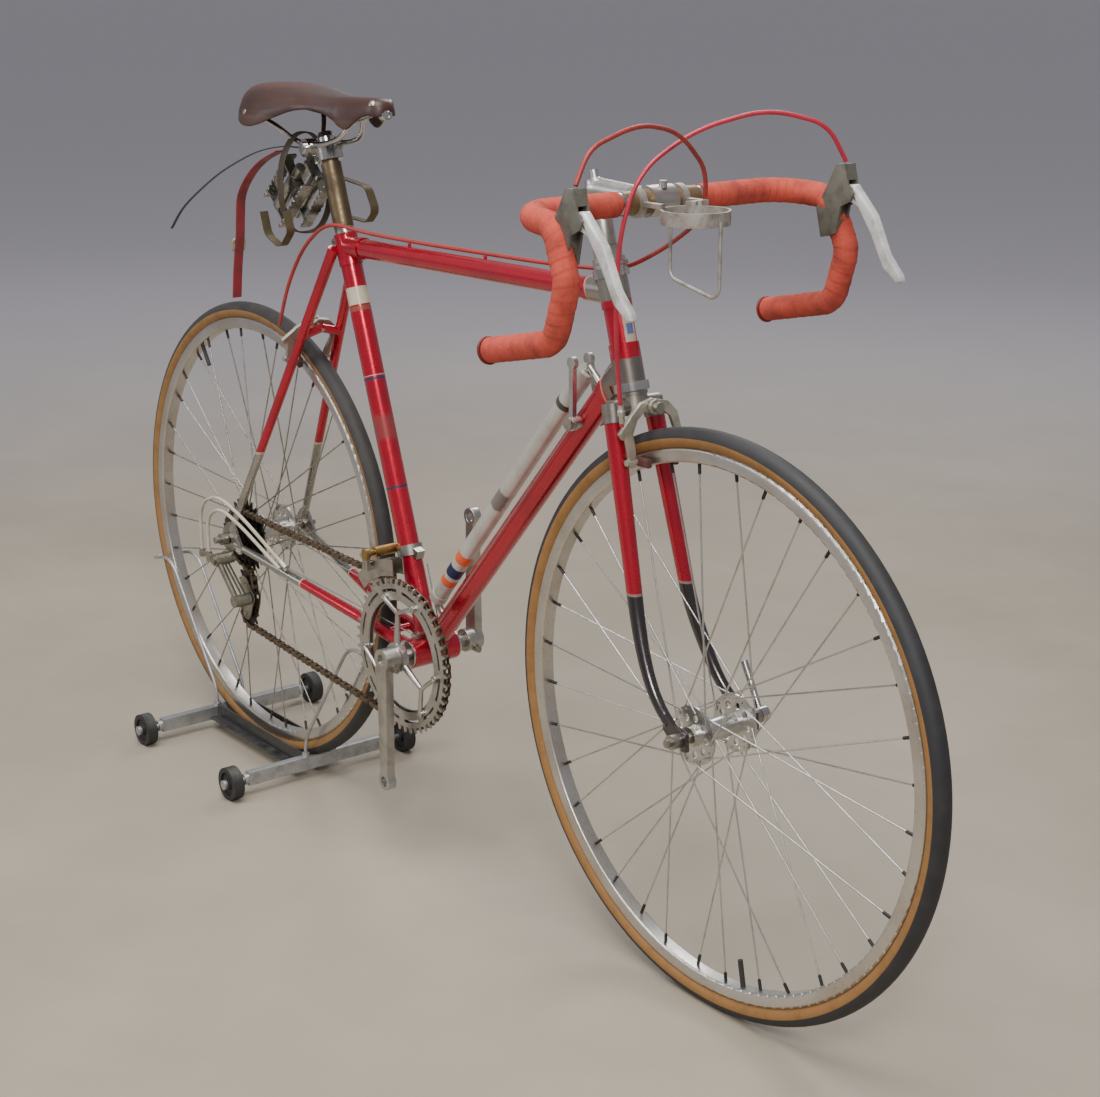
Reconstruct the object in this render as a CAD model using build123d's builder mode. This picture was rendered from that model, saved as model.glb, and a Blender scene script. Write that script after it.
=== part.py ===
from build123d import *
import math
import os

os.makedirs("parts", exist_ok=True)

# ---------------------------------------------------------------- driving dimensions (mm)
# +X is forward, +Y is the rider's left, +Z is up. The origin is on the floor, midway between the axles.
WHEELBASE = 976.0
TYRE_R = 338.0          # outside of the tubular tyre
TYRE_SECTION_R = 12.2
RIM_R = 316.0           # tyre bed
RIM_INNER_R = 300.0     # where the nipples seat
RIM_HALF_WIDTH = 10.0
RIM_WALL = 1.3
SPOKES = 36
SPOKE_R = 1.0
REAR_LIFT = 5.0         # the stand holds the rear tyre this far off the floor

FRONT_AXLE = Vector(WHEELBASE / 2, 0, TYRE_R)
REAR_AXLE = Vector(-WHEELBASE / 2, 0, TYRE_R + REAR_LIFT)
BRACKET = Vector(-65, 0, 277)

SEAT_ANGLE = 71.3
HEAD_ANGLE = 73.5
HEAD_POINT = Vector(326, 0, 742)
UP_SEAT = Vector(-math.cos(math.radians(SEAT_ANGLE)), 0, math.sin(math.radians(SEAT_ANGLE)))
UP_HEAD = Vector(-math.cos(math.radians(HEAD_ANGLE)), 0, math.sin(math.radians(HEAD_ANGLE)))

SEAT_TUBE_R = 14.3
SEAT_TUBE_BORE = 13.3
SEATPOST_R = 13.25
TOP_TUBE_R = 12.7
DOWN_TUBE_R = 14.3
HEAD_TUBE_R = 15.9
HEAD_TUBE_BORE = 14.6
STEERER_R = 12.7
STEERER_BORE = 11.1
WALL = 1.0
LUG_WALL = 1.6
SHELL_R = 20.0
SHELL_BORE = 17.5
SHELL_HALF = 35.0

SEAT_TUBE_TOP_Z = 806.0
TOP_TUBE_SEAT_Z = 791.0
TOP_TUBE_HEAD_Z = 801.0
HEAD_TOP_Z = 817.0
HEAD_BOTTOM_Z = 704.0
DOWN_TUBE_HEAD_Z = 724.0

CHAIN_Y = -41.0
CHAIN_PITCH = 12.7
RING_GAP = 5.5
INNER_TEETH = 48
OUTER_TEETH = 50
COG_TEETH = (25, 22, 19, 16, 14)
COG_PITCH_Y = 5.5
PULLEY_TEETH = 10
GUIDE = Vector(-474, CHAIN_Y, 276)
TENSION = Vector(-469, CHAIN_Y, 230)
CAGE_PIVOT = Vector(-456, 0, 256)

REAR_HALF_OLN = 60.0
FRONT_HALF_OLN = 50.0
FLANGE_R = 34.0
SPOKE_HOLE_R = 29.5
AXLE_R = 4.8
CLEAR = 0.05            # radial running clearance of every turning fit
CUP_R = 20.5

CRANK_LENGTH = 170.0
CRANK_Y = 78.0          # outer face of each crank
SPINDLE_R = 8.5
PEDAL_THREAD_R = 7.14
CRANK_THICKNESS = 12.0
COTTER_OFFSET = Vector(0, 0, -10.4)
COTTER_R = 4.3
COTTER_Y = 66.0

BAR_R = 12.0
TAPE_R = 14.2
BAR_CENTRE = Vector(379, 0, 909)
BAR_HALF = 200.0
HOUSING_R = 2.5

STAND_HALF_LENGTH = 131.0
STAND_TRACK = 147.0
STAND_WHEEL_R = 24.0
STAND_WHEEL_HALF = 8.0

BOTTOM = (Align.CENTER, Align.CENTER, Align.MIN)


# ---------------------------------------------------------------- helpers
def teeth_radius(teeth):
    """Pitch radius of a chain wheel."""
    return CHAIN_PITCH / (2 * math.sin(math.pi / teeth))


def on_line(start, direction, z):
    """The point at height z of the line through start."""
    return start + direction * ((z - start.Z) / direction.Z)


def bar(start, end, radius, end_radius=None, mode=Mode.ADD):
    """Add a round bar, or a taper, from start to end to the part being built."""
    start, end = Vector(start), Vector(end)
    length = (end - start).length
    with Locations(Plane(origin=start, z_dir=end - start).location):
        if end_radius is None:
            Cylinder(radius, length, align=BOTTOM, mode=mode)
        else:
            Cone(radius, end_radius, length, align=BOTTOM, mode=mode)


def box(centre, size, turn=(0, 0, 0), mode=Mode.ADD):
    """Add a box about its centre, turned by the three angles."""
    with Locations(Location(tuple(centre), turn)):
        Box(*size, mode=mode)


def finish(piece, name):
    """Name a finished sub-part and write its file."""
    piece.part.label = name
    export_step(piece.part, f"parts/{name}.step")


def largest_radii(points):
    """Radii for the corners of a cord: 0.45 of the shorter run over the tangent of half the turn."""
    points = [Vector(*p) for p in points]
    radii = []
    for before, corner, after in zip(points, points[1:], points[2:]):
        turn = math.radians((corner - before).get_angle(after - corner))
        shorter = min((corner - before).length, (after - corner).length)
        radii.append(0.45 * shorter / math.tan(turn / 2))
    return radii


def swept(points, radii, radius, bore=0.0):
    """A round rod or tube along straight runs joined by arcs."""
    with BuildPart() as rod:
        with BuildLine() as path:
            FilletPolyline(*[tuple(p) for p in points], radius=radii)
        with BuildSketch(Plane(origin=path.line @ 0, z_dir=path.line % 0)):
            Circle(radius)
            if bore:
                Circle(bore, mode=Mode.SUBTRACT)
        sweep()
    return rod


def cord(name, points):
    """A cable housing along its route, with its radii and its length printed."""
    radii = largest_radii(points)
    housing = swept(points, radii, HOUSING_R)
    length = housing.part.volume / (math.pi * HOUSING_R**2)
    print(name, "radii", [round(r) for r in radii], "length", round(length))
    return housing


def mirrored(points):
    """The same points on the rider's left."""
    return [(x, -y, z) for x, y, z in points]


def side_plane(y, centre=Vector(0, 0, 0)):
    """A sketch plane facing the rider's right, at the given y, with x forward and y up from the centre."""
    return Plane(origin=(centre.X, y, centre.Z), x_dir=(1, 0, 0), z_dir=(0, -1, 0))


def toothed(teeth, inner_radius, y, thickness, centre, chain_wheel=True):
    """A chain wheel or pulley as an annulus with teeth, centred on y."""
    pitch_radius = teeth_radius(teeth)
    root = pitch_radius - 3.9
    tip = pitch_radius + 3.6 if chain_wheel else pitch_radius + 2.4
    with BuildPart() as wheel:
        with BuildSketch(side_plane(y + thickness / 2, centre)):
            Circle(root)
            with PolarLocations(0, teeth):
                Polygon((root - 1, -2.6), (pitch_radius, -2.2), (tip, -0.8),
                        (tip, 0.8), (pitch_radius, 2.2), (root - 1, 2.6), align=None)
            Circle(inner_radius, mode=Mode.SUBTRACT)
        extrude(amount=thickness)
    return wheel


# ---------------------------------------------------------------- frame tubes
seat_top = on_line(BRACKET, UP_SEAT, SEAT_TUBE_TOP_Z)
top_tube_rear = on_line(BRACKET, UP_SEAT, TOP_TUBE_SEAT_Z)
top_tube_front = on_line(HEAD_POINT, UP_HEAD, TOP_TUBE_HEAD_Z)
down_tube_front = on_line(HEAD_POINT, UP_HEAD, DOWN_TUBE_HEAD_Z)
head_top = on_line(HEAD_POINT, UP_HEAD, HEAD_TOP_Z)
head_bottom = on_line(HEAD_POINT, UP_HEAD, HEAD_BOTTOM_Z)
shell_left = BRACKET + Vector(0, SHELL_HALF, 0)
shell_right = BRACKET - Vector(0, SHELL_HALF, 0)

with BuildPart() as seat_tube:
    bar(BRACKET, seat_top, SEAT_TUBE_R)
    bar(BRACKET, seat_top + UP_SEAT, SEAT_TUBE_BORE, mode=Mode.SUBTRACT)
    bar(shell_left, shell_right, SHELL_R, mode=Mode.SUBTRACT)
finish(seat_tube, "seat_tube")

with BuildPart() as head_tube:
    bar(head_bottom, head_top, HEAD_TUBE_R)
    bar(head_bottom - UP_HEAD, head_top + UP_HEAD, HEAD_TUBE_BORE, mode=Mode.SUBTRACT)
finish(head_tube, "head_tube")

with BuildPart() as top_tube:
    bar(top_tube_rear, top_tube_front, TOP_TUBE_R)
    bar(top_tube_rear, top_tube_front, TOP_TUBE_R - WALL, mode=Mode.SUBTRACT)
    bar(BRACKET, seat_top + UP_SEAT * 20, SEAT_TUBE_R, mode=Mode.SUBTRACT)
    bar(head_bottom, head_top, HEAD_TUBE_R, mode=Mode.SUBTRACT)
    bar(head_top, head_top + UP_HEAD * 30, CUP_R + 0.3, mode=Mode.SUBTRACT)
finish(top_tube, "top_tube")

with BuildPart() as down_tube:
    bar(BRACKET, down_tube_front, DOWN_TUBE_R)
    bar(BRACKET, down_tube_front, DOWN_TUBE_R - WALL, mode=Mode.SUBTRACT)
    bar(head_bottom - UP_HEAD * 9, head_top, HEAD_TUBE_R, mode=Mode.SUBTRACT)
    bar(head_bottom - UP_HEAD * 30, head_bottom, CUP_R + 0.3, mode=Mode.SUBTRACT)
    bar(shell_left, shell_right, SHELL_R, mode=Mode.SUBTRACT)
    bar(BRACKET, seat_top, SEAT_TUBE_R, mode=Mode.SUBTRACT)
finish(down_tube, "down_tube")

# ---------------------------------------------------------------- lugs and bracket shell
along_top = (top_tube_front - top_tube_rear).normalized()
along_down = (down_tube_front - BRACKET).normalized()
STAY_TOP = Vector(-246, 17.5, 788)
STAY_FOOT = Vector(-477, 61, 357)
CHAIN_STAY_BEND = Vector(-190, 24, 291)
CHAIN_STAY_START = Vector(-87, 22, 279.5)
CHAIN_STAY_END = Vector(-467, 61, 338)

with BuildPart() as upper_head_lug:
    bar(head_top - UP_HEAD * 34, head_top, HEAD_TUBE_R + LUG_WALL)
    bar(top_tube_front - along_top * 46, top_tube_front, TOP_TUBE_R + LUG_WALL)
    bar(head_top - UP_HEAD * 40, head_top + UP_HEAD, HEAD_TUBE_R, mode=Mode.SUBTRACT)
    bar(head_top, head_top + UP_HEAD * 40, CUP_R + 0.3, mode=Mode.SUBTRACT)
    bar(top_tube_front - along_top * 50, top_tube_front, TOP_TUBE_R, mode=Mode.SUBTRACT)

with BuildPart() as lower_head_lug:
    bar(head_bottom, head_bottom + UP_HEAD * 44, HEAD_TUBE_R + LUG_WALL)
    bar(down_tube_front - along_down * 52, down_tube_front, DOWN_TUBE_R + LUG_WALL)
    bar(head_bottom - UP_HEAD * 40, head_bottom, HEAD_TUBE_R + 9, mode=Mode.SUBTRACT)
    bar(head_bottom - UP_HEAD * 12, head_bottom + UP_HEAD * 50, HEAD_TUBE_R, mode=Mode.SUBTRACT)
    bar(down_tube_front - along_down * 60, down_tube_front, DOWN_TUBE_R, mode=Mode.SUBTRACT)

with BuildPart() as seat_lug:
    bar(seat_top - UP_SEAT * 42, seat_top, SEAT_TUBE_R + LUG_WALL)
    bar(top_tube_rear, top_tube_rear + along_top * 40, TOP_TUBE_R + LUG_WALL)
    bar(seat_top - UP_SEAT * 50, seat_top + UP_SEAT, SEAT_TUBE_R, mode=Mode.SUBTRACT)
    bar(top_tube_rear, top_tube_rear + along_top * 44, TOP_TUBE_R, mode=Mode.SUBTRACT)

with BuildPart() as bracket_shell:
    bar(shell_left, shell_right, SHELL_R)
    bar(BRACKET, BRACKET + UP_SEAT * 38, SEAT_TUBE_R + LUG_WALL)
    bar(BRACKET, BRACKET + along_down * 38, DOWN_TUBE_R + LUG_WALL)
    for side in (-1, 1):
        start = Vector(CHAIN_STAY_START.X, side * CHAIN_STAY_START.Y, CHAIN_STAY_START.Z)
        bend = Vector(CHAIN_STAY_BEND.X, side * CHAIN_STAY_BEND.Y, CHAIN_STAY_BEND.Z)
        along_stay = (bend - start).normalized()
        bar(start - along_stay * 20, start + along_stay * 16, 10.4)
        bar(start, bend, 9.0, 8.2, mode=Mode.SUBTRACT)
    bar(shell_left + Vector(0, 1, 0), shell_right - Vector(0, 1, 0), SHELL_BORE, mode=Mode.SUBTRACT)
    bar(BRACKET, BRACKET + UP_SEAT * 40, SEAT_TUBE_R, mode=Mode.SUBTRACT)
    bar(BRACKET, BRACKET + along_down * 40, DOWN_TUBE_R, mode=Mode.SUBTRACT)

with BuildPart() as lugs:
    add(upper_head_lug.part)
    add(lower_head_lug.part)
    add(seat_lug.part)
    add(bracket_shell.part)
finish(lugs, "lugs")

# ---------------------------------------------------------------- stays, dropouts and bridge
bridge_z = 664.0
stay_line = STAY_FOOT - STAY_TOP
bridge_on_stay = on_line(STAY_TOP, stay_line, bridge_z)
BRIDGE_R = 6.0
DROPOUT_THICKNESS = 4.0
HANGER = Vector(-482, 0, 316)
HANGER_BOLT_R = 3.9

# ---------------------------------------------------------------- side-pull brakes: planes and bolts
CALIPER_BOLT_R = 3.0
ARM_THICKNESS = 5.0
ARM_GAP = 0.4
PAD_GAP = 3.6
REACH = 60.0
FRONT_BRAKE = Plane(origin=(371, 0, 684), x_dir=(0, 1, 0), z_dir=(1, 0, 0))
bridge_normal = Vector(-0.88, 0, 0.475)
REAR_BRAKE = Plane(
    origin=Vector(bridge_on_stay.X, 0, bridge_z + 7) + bridge_normal * 8,
    x_dir=(0, -1, 0), z_dir=tuple(bridge_normal),
)


def caliper_bolt(brake, behind):
    """The centre bolt with its head in front of the arms and its nut behind the frame."""
    front = 2 * ARM_THICKNESS + 2 * ARM_GAP
    with BuildPart() as bolt:
        bar(brake.from_local_coords(Vector(0, 0, -behind)), brake.from_local_coords(Vector(0, 0, front)),
            CALIPER_BOLT_R)
        bar(brake.from_local_coords(Vector(0, 0, front)),
            brake.from_local_coords(Vector(0, 0, front + 7)), 6.0)
    return bolt


with BuildPart() as stays:
    for side in (-1, 1):
        top = Vector(STAY_TOP.X, side * STAY_TOP.Y, STAY_TOP.Z)
        foot = Vector(STAY_FOOT.X, side * STAY_FOOT.Y, STAY_FOOT.Z)
        bar(top, foot, 7.5, 5.6)
        start = Vector(CHAIN_STAY_START.X, side * CHAIN_STAY_START.Y, CHAIN_STAY_START.Z)
        bend = Vector(CHAIN_STAY_BEND.X, side * CHAIN_STAY_BEND.Y, CHAIN_STAY_BEND.Z)
        end = Vector(CHAIN_STAY_END.X, side * CHAIN_STAY_END.Y, CHAIN_STAY_END.Z)
        bar(start, bend, 9.0, 8.2)
        with Locations(Location(tuple(bend))):
            Sphere(8.2)
        bar(bend, end, 8.2, 5.4)
    bar((bridge_on_stay.X, bridge_on_stay.Y - 3, bridge_z), (bridge_on_stay.X, 0, bridge_z + 7), BRIDGE_R)
    bar((bridge_on_stay.X, 3 - bridge_on_stay.Y, bridge_z), (bridge_on_stay.X, 0, bridge_z + 7), BRIDGE_R)
    bar((CHAIN_STAY_BEND.X + 52, -20, 285.5), (CHAIN_STAY_BEND.X + 52, 20, 285.5), 5.0)
    for side in (-1, 1):
        inner = side * REAR_HALF_OLN
        with BuildSketch(side_plane(inner if side < 0 else inner + DROPOUT_THICKNESS)):
            with BuildLine():
                Polyline((-499, 353), (-486, 368), (-470, 372), (-446, 336), (-452, 326),
                         (-470, 330), (-476, 320), (-499, 330), (-499, 353))
            make_face()
            if side < 0:
                with Locations((HANGER.X, HANGER.Z)):
                    Circle(9)
            with Locations((REAR_AXLE.X, REAR_AXLE.Z)):
                SlotOverall(26, 2 * AXLE_R + 0.2, mode=Mode.SUBTRACT)
        extrude(amount=DROPOUT_THICKNESS)
    # room for the seat lug, the brake's bolt and the gear hanger's bolt
    bar(seat_top - UP_SEAT * 50, seat_top + UP_SEAT, SEAT_TUBE_R + LUG_WALL, mode=Mode.SUBTRACT)
    bar(REAR_BRAKE.from_local_coords(Vector(0, 0, -16)), REAR_BRAKE.from_local_coords(Vector(0, 0, 1)),
        CALIPER_BOLT_R + 0.05, mode=Mode.SUBTRACT)
    bar(HANGER - Vector(0, 70, 0), HANGER - Vector(0, 55, 0), HANGER_BOLT_R + 0.05, mode=Mode.SUBTRACT)
finish(stays, "rear_stays")

# ---------------------------------------------------------------- bearing cups (headset and bracket)
HEADSET_STACK = 10.0

with BuildPart() as cups:
    for start, end in (
        (head_top, head_top + UP_HEAD * HEADSET_STACK),
        (head_bottom - UP_HEAD * HEADSET_STACK, head_bottom),
    ):
        bar(start, end, CUP_R)
        bar(start - UP_HEAD, end + UP_HEAD, STEERER_R + CLEAR, mode=Mode.SUBTRACT)
    for side in (-1, 1):
        inner = BRACKET + Vector(0, side * 26, 0)
        face = BRACKET + Vector(0, side * SHELL_HALF, 0)
        bar(inner, face, SHELL_BORE)
        bar(face, face + Vector(0, side * 3, 0), SHELL_R - 1)
        bar(inner - Vector(0, side, 0), face + Vector(0, side * 4, 0), SPINDLE_R + CLEAR, mode=Mode.SUBTRACT)
finish(cups, "bearing_cups")

# ---------------------------------------------------------------- fork, steerer and crown
crown_top = head_bottom - UP_HEAD * (HEADSET_STACK + 4)
crown_bottom = crown_top - UP_HEAD * 22
steerer_top = head_top + UP_HEAD * 36
BLADE_TOP = Vector(345.5, 30, 664)
BLADE_KNEE = Vector(394, 38.5, 478)
BLADE_SWEEP = Vector(418, 44.5, 414)
BLADE_TIP = Vector(470, 50, 350)

with BuildPart() as fork_crown:
    bar(crown_top, steerer_top, STEERER_R)
    bar(crown_bottom, crown_top, 16.5)
    bar(crown_top, crown_top + UP_HEAD * 3.8, 17.5)
    crown_middle = (crown_top + crown_bottom) * 0.5
    for side in (-1, 1):
        bar(crown_middle, crown_middle + Vector(0, side * 34, -1), 10.5)
        shoulder = Vector(BLADE_TOP.X, side * BLADE_TOP.Y, BLADE_TOP.Z)
        knee = Vector(BLADE_KNEE.X, side * BLADE_KNEE.Y, BLADE_KNEE.Z)
        bar(shoulder, shoulder + (shoulder - knee).normalized() * 21.5, 12.2)
    bar(crown_bottom - UP_HEAD, steerer_top + UP_HEAD, STEERER_BORE, mode=Mode.SUBTRACT)
    add(caliper_bolt(FRONT_BRAKE, 38).part)
finish(fork_crown, "fork_crown")

with BuildPart() as headset_nuts:
    bar(head_top + UP_HEAD * (HEADSET_STACK + 0.3), head_top + UP_HEAD * 22, 18.5)
    bar(head_top + UP_HEAD * 22, head_top + UP_HEAD * 34, 16)
    bar(head_top, steerer_top, STEERER_R, mode=Mode.SUBTRACT)

TIP_PLATE = 5.0


def fork_blade(side):
    """One tapered blade with its forward sweep and its flat tip with the axle slot."""
    top, knee, sweep_point, tip = [
        Vector(p.X, side * p.Y, p.Z) for p in (BLADE_TOP, BLADE_KNEE, BLADE_SWEEP, BLADE_TIP)
    ]
    with BuildPart() as blade:
        bar(top, knee, 11.0, 9.0)
        with BuildLine() as path:
            Spline(tuple(knee), tuple(sweep_point), tuple(tip),
                   tangents=[tuple(knee - top), (0.86, side * 0.06, -0.5)])
        with BuildSketch(Plane(origin=path.line @ 0, z_dir=path.line % 0)):
            Circle(9.0)
        with BuildSketch(Plane(origin=path.line @ 1, z_dir=path.line % 1)):
            Circle(6.3)
        sweep(multisection=True)
        with BuildSketch(side_plane(side * FRONT_HALF_OLN + (TIP_PLATE if side > 0 else 0))):
            with BuildLine():
                Polyline((466, 362), (480, 353), (500, 348), (502, 328), (484, 326), (463, 344), (466, 362))
            make_face()
            with Locations(Location((FRONT_AXLE.X, FRONT_AXLE.Z - 6, 0), -90)):
                SlotOverall(23, 2 * AXLE_R + 0.2, mode=Mode.SUBTRACT)
        extrude(amount=TIP_PLATE)
        bar((FRONT_AXLE.X, side * (FRONT_HALF_OLN - 12), FRONT_AXLE.Z),
            (FRONT_AXLE.X, side * FRONT_HALF_OLN, FRONT_AXLE.Z), 14, mode=Mode.SUBTRACT)
    return blade


with BuildPart() as fork_blades:
    for side in (-1, 1):
        add(fork_blade(side).part)
finish(fork_blades, "fork_blades")

# ---------------------------------------------------------------- stem and handlebar
stem_corner = on_line(HEAD_POINT, UP_HEAD, 912)
with BuildPart() as stem:
    bar(steerer_top - UP_HEAD * 60, steerer_top, STEERER_BORE)
    bar(steerer_top, stem_corner + UP_HEAD * 10, 12.0)
    with Locations(Location(tuple(stem_corner))):
        Sphere(13.5)
    bar(stem_corner, BAR_CENTRE, 13.0, 11.0)
    bar(BAR_CENTRE - Vector(0, 17, 0), BAR_CENTRE + Vector(0, 17, 0), BAR_R + 5)
    bar(stem_corner + UP_HEAD * 8, stem_corner + UP_HEAD * 21, 5.0)
    bar(BAR_CENTRE + Vector(8, 0, 14), BAR_CENTRE + Vector(8, 0, 22), 4.5)
    bar(BAR_CENTRE - Vector(0, 18, 0), BAR_CENTRE + Vector(0, 18, 0), BAR_R, mode=Mode.SUBTRACT)
    add(headset_nuts.part)
finish(stem, "stem")

BAR_SIDE = [(379, -186, 909), (446, -193, 905), (471, -197, 850), (452, -198, 789), (346, -BAR_HALF, 766)]
BAR_RADII = [44, 27, 34, 28]
right_to_left = BAR_SIDE[::-1] + mirrored(BAR_SIDE)
handlebar = swept(right_to_left, BAR_RADII[::-1] + BAR_RADII, BAR_R, BAR_R - 1.5)
with BuildPart() as bar_sleeve:
    bar((379, -52, 909), (379, 52, 909), BAR_R + 0.9)
    bar((379, -53, 909), (379, 53, 909), BAR_R - 0.5, mode=Mode.SUBTRACT)
    bar((379, -17, 909), (379, 17, 909), BAR_R + 2, mode=Mode.SUBTRACT)
with BuildPart() as whole_handlebar:
    add(handlebar.part)
    add(bar_sleeve.part)
finish(whole_handlebar, "handlebar")

TAPE_START_Y = 58.0
with BuildPart() as bar_tape:
    for side in (-1, 1):
        points = [(x, -side * y, z) for x, y, z in [(379, -TAPE_START_Y, 909)] + BAR_SIDE]
        tape = swept(points, BAR_RADII, TAPE_R, BAR_R)
        add(tape.part)
        with Locations(Plane(origin=(346, side * BAR_HALF, 766), z_dir=(-106, side * 2, -23)).location):
            Cylinder(TAPE_R + 0.6, 4, align=BOTTOM)
finish(bar_tape, "bar_tape")

# ---------------------------------------------------------------- brake levers
HOOD_Y = 188.0
LEVER_PIVOT = Vector(486, 0, 914)
LEVER_PIN_R = 2.5
HOOD_WIDTH = 17.0
BLADE_WIDTH = 10.0
FORK_WALL = 2.4


def lever_body(side):
    """The bracket on the bar bend: a solid neck with two cheeks that hold the lever's pin."""
    with BuildPart() as body:
        with BuildSketch(side_plane(side * HOOD_Y + HOOD_WIDTH / 2)):
            with BuildLine():
                Polyline((446, 862), (438, 893), (452, 917), (466, 943), (478, 944), (484, 922),
                         (492, 914), (488, 905), (474, 898), (468, 868), (446, 862))
            make_face()
        extrude(amount=HOOD_WIDTH)
        box((484, side * HOOD_Y, 905), (32, BLADE_WIDTH + 1.2, 44), mode=Mode.SUBTRACT)
        bar(LEVER_PIVOT + Vector(0, side * HOOD_Y - 8.4, 0), LEVER_PIVOT + Vector(0, side * HOOD_Y + 8.4, 0),
            LEVER_PIN_R)
        points = [(x, -side * y, z) for x, y, z in BAR_SIDE]
        add(swept(points, BAR_RADII[1:], TAPE_R).part, mode=Mode.SUBTRACT)
        bar((472, side * HOOD_Y, 920), (472, side * HOOD_Y, 946), HOUSING_R + 0.1, mode=Mode.SUBTRACT)
    return body


with BuildPart() as lever_bodies:
    for side in (-1, 1):
        add(lever_body(side).part)
finish(lever_bodies, "brake_lever_bodies")


def lever_blade(side):
    """A curved lever blade with its pivot hole."""
    with BuildPart() as blade:
        with BuildSketch(side_plane(side * HOOD_Y + BLADE_WIDTH / 2)):
            with BuildLine():
                Polyline((480, 922), (490, 923), (520, 893), (541, 853), (560, 833), (563, 826), (556, 824),
                         (536, 838), (515, 874), (496, 899), (480, 905), (480, 922))
            make_face()
            with Locations((LEVER_PIVOT.X, LEVER_PIVOT.Z)):
                Circle(LEVER_PIN_R + CLEAR, mode=Mode.SUBTRACT)
        extrude(amount=BLADE_WIDTH)
    return blade


finish(lever_blade(-1), "right_brake_lever")
finish(lever_blade(1), "left_brake_lever")

# ---------------------------------------------------------------- side-pull brakes
def caliper_arm(brake, side, layer):
    """One arm with its pad holder and pad, in the brake's own plane: x across, y up, z along the bolt."""
    low = layer * (ARM_THICKNESS + ARM_GAP)
    with BuildPart() as arm:
        with BuildSketch(brake.offset(low)):
            with BuildLine():
                Polyline((0, 9), (side * 17, 5), (side * 31, -8), (side * 38, -28), (side * 34, -48),
                         (side * 31, -66), (side * 23, -66), (side * 24, -48), (side * 28, -28),
                         (side * 22, -13), (side * 11, -5), (0, -8), (-side * 6, 0), (0, 9))
            make_face()
            Circle(8)
            if (side < 0) == (brake is FRONT_BRAKE):
                with BuildLine():
                    Polyline((side * 30, -8), (side * 47, -26), (side * 42, -33), (side * 30, -20),
                             (side * 30, -8))
                make_face()
            Circle(CALIPER_BOLT_R + CLEAR, mode=Mode.SUBTRACT)
        extrude(amount=ARM_THICKNESS)
        middle = low + ARM_THICKNESS / 2
        pad_near = RIM_HALF_WIDTH + PAD_GAP
        start = brake.from_local_coords(Vector(side * 36, -REACH, middle))
        end = brake.from_local_coords(Vector(side * (pad_near + 7), -REACH, middle))
        bar(start, end, 3.5)
    with BuildPart() as pad:
        along = 36 if brake is FRONT_BRAKE else 34
        centre_x = side * (pad_near + 3.8)
        with BuildSketch(brake.offset(middle - along / 2)):
            with Locations((centre_x, -REACH)):
                RectangleRounded(7.2, 10, 2)
        extrude(amount=along)
        bar(brake.from_local_coords(Vector(centre_x, -REACH, middle)), end, 3.5)
    with BuildPart() as both:
        add(arm.part)
        add(pad.part)
    return both


for brake, name in ((FRONT_BRAKE, "front"), (REAR_BRAKE, "rear")):
    for side, layer in ((-1, 0), (1, 1)):
        label = ("right" if (side < 0) == (brake is FRONT_BRAKE) else "left")
        finish(caliper_arm(brake, side, layer), f"{name}_brake_{label}_arm")


# ---------------------------------------------------------------- wheels
VALVE_R = 3.0
VALVE_LENGTH = 32.0
BED = RIM_R + 0.05
FRONT_SPOKE_PHASE = -6.1    # degrees from straight up to the first spoke, towards the front
REAR_SPOKE_PHASE = -8.0
NIPPLE_OFFSET = 2.4          # nipples alternate this far from the rim's middle
FRONT_VALVE_ANGLE = FRONT_SPOKE_PHASE + 175
REAR_VALVE_ANGLE = REAR_SPOKE_PHASE - 25


def spoke_direction(degrees):
    """The direction from an axle at an angle from straight up, towards the front."""
    return Vector(math.sin(math.radians(degrees)), 0, math.cos(math.radians(degrees)))


def rim(axle, valve_angle):
    """A box-section rim with a round bed for the tyre, and a hole for the valve."""
    with BuildPart() as hoop:
        with BuildSketch(Plane(origin=axle, x_dir=(1, 0, 0), z_dir=(0, -1, 0)).rotated((-90, 0, 0))):
            with Locations(((RIM_R + RIM_INNER_R) / 2, 0)):
                RectangleRounded(RIM_R - RIM_INNER_R, 2 * RIM_HALF_WIDTH, 3)
                RectangleRounded(RIM_R - RIM_INNER_R - 2 * RIM_WALL, 2 * (RIM_HALF_WIDTH - RIM_WALL), 2,
                                 mode=Mode.SUBTRACT)
        revolve(axis=Axis(origin=tuple(axle), direction=(0, 1, 0)))
        valve = spoke_direction(valve_angle)
        bar(axle + valve * (RIM_INNER_R - 2), axle + valve * (RIM_R + 1), VALVE_R, mode=Mode.SUBTRACT)
    return hoop


def tyre(axle, valve_angle):
    """A tubular tyre, flat where it is glued to the rim, with its valve stem."""
    with BuildPart() as ring:
        with BuildSketch(Plane(origin=axle, x_dir=(1, 0, 0), z_dir=(0, -1, 0)).rotated((-90, 0, 0))):
            with Locations((TYRE_R - TYRE_SECTION_R, 0)):
                Circle(TYRE_SECTION_R)
            with Locations((BED - 20, 0)):
                Rectangle(40, 60, mode=Mode.SUBTRACT)
        revolve(axis=Axis(origin=tuple(axle), direction=(0, 1, 0)))
        valve = spoke_direction(valve_angle)
        bar(axle + valve * (RIM_INNER_R - VALVE_LENGTH), axle + valve * (RIM_R + 4), VALVE_R)
    return ring


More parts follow.
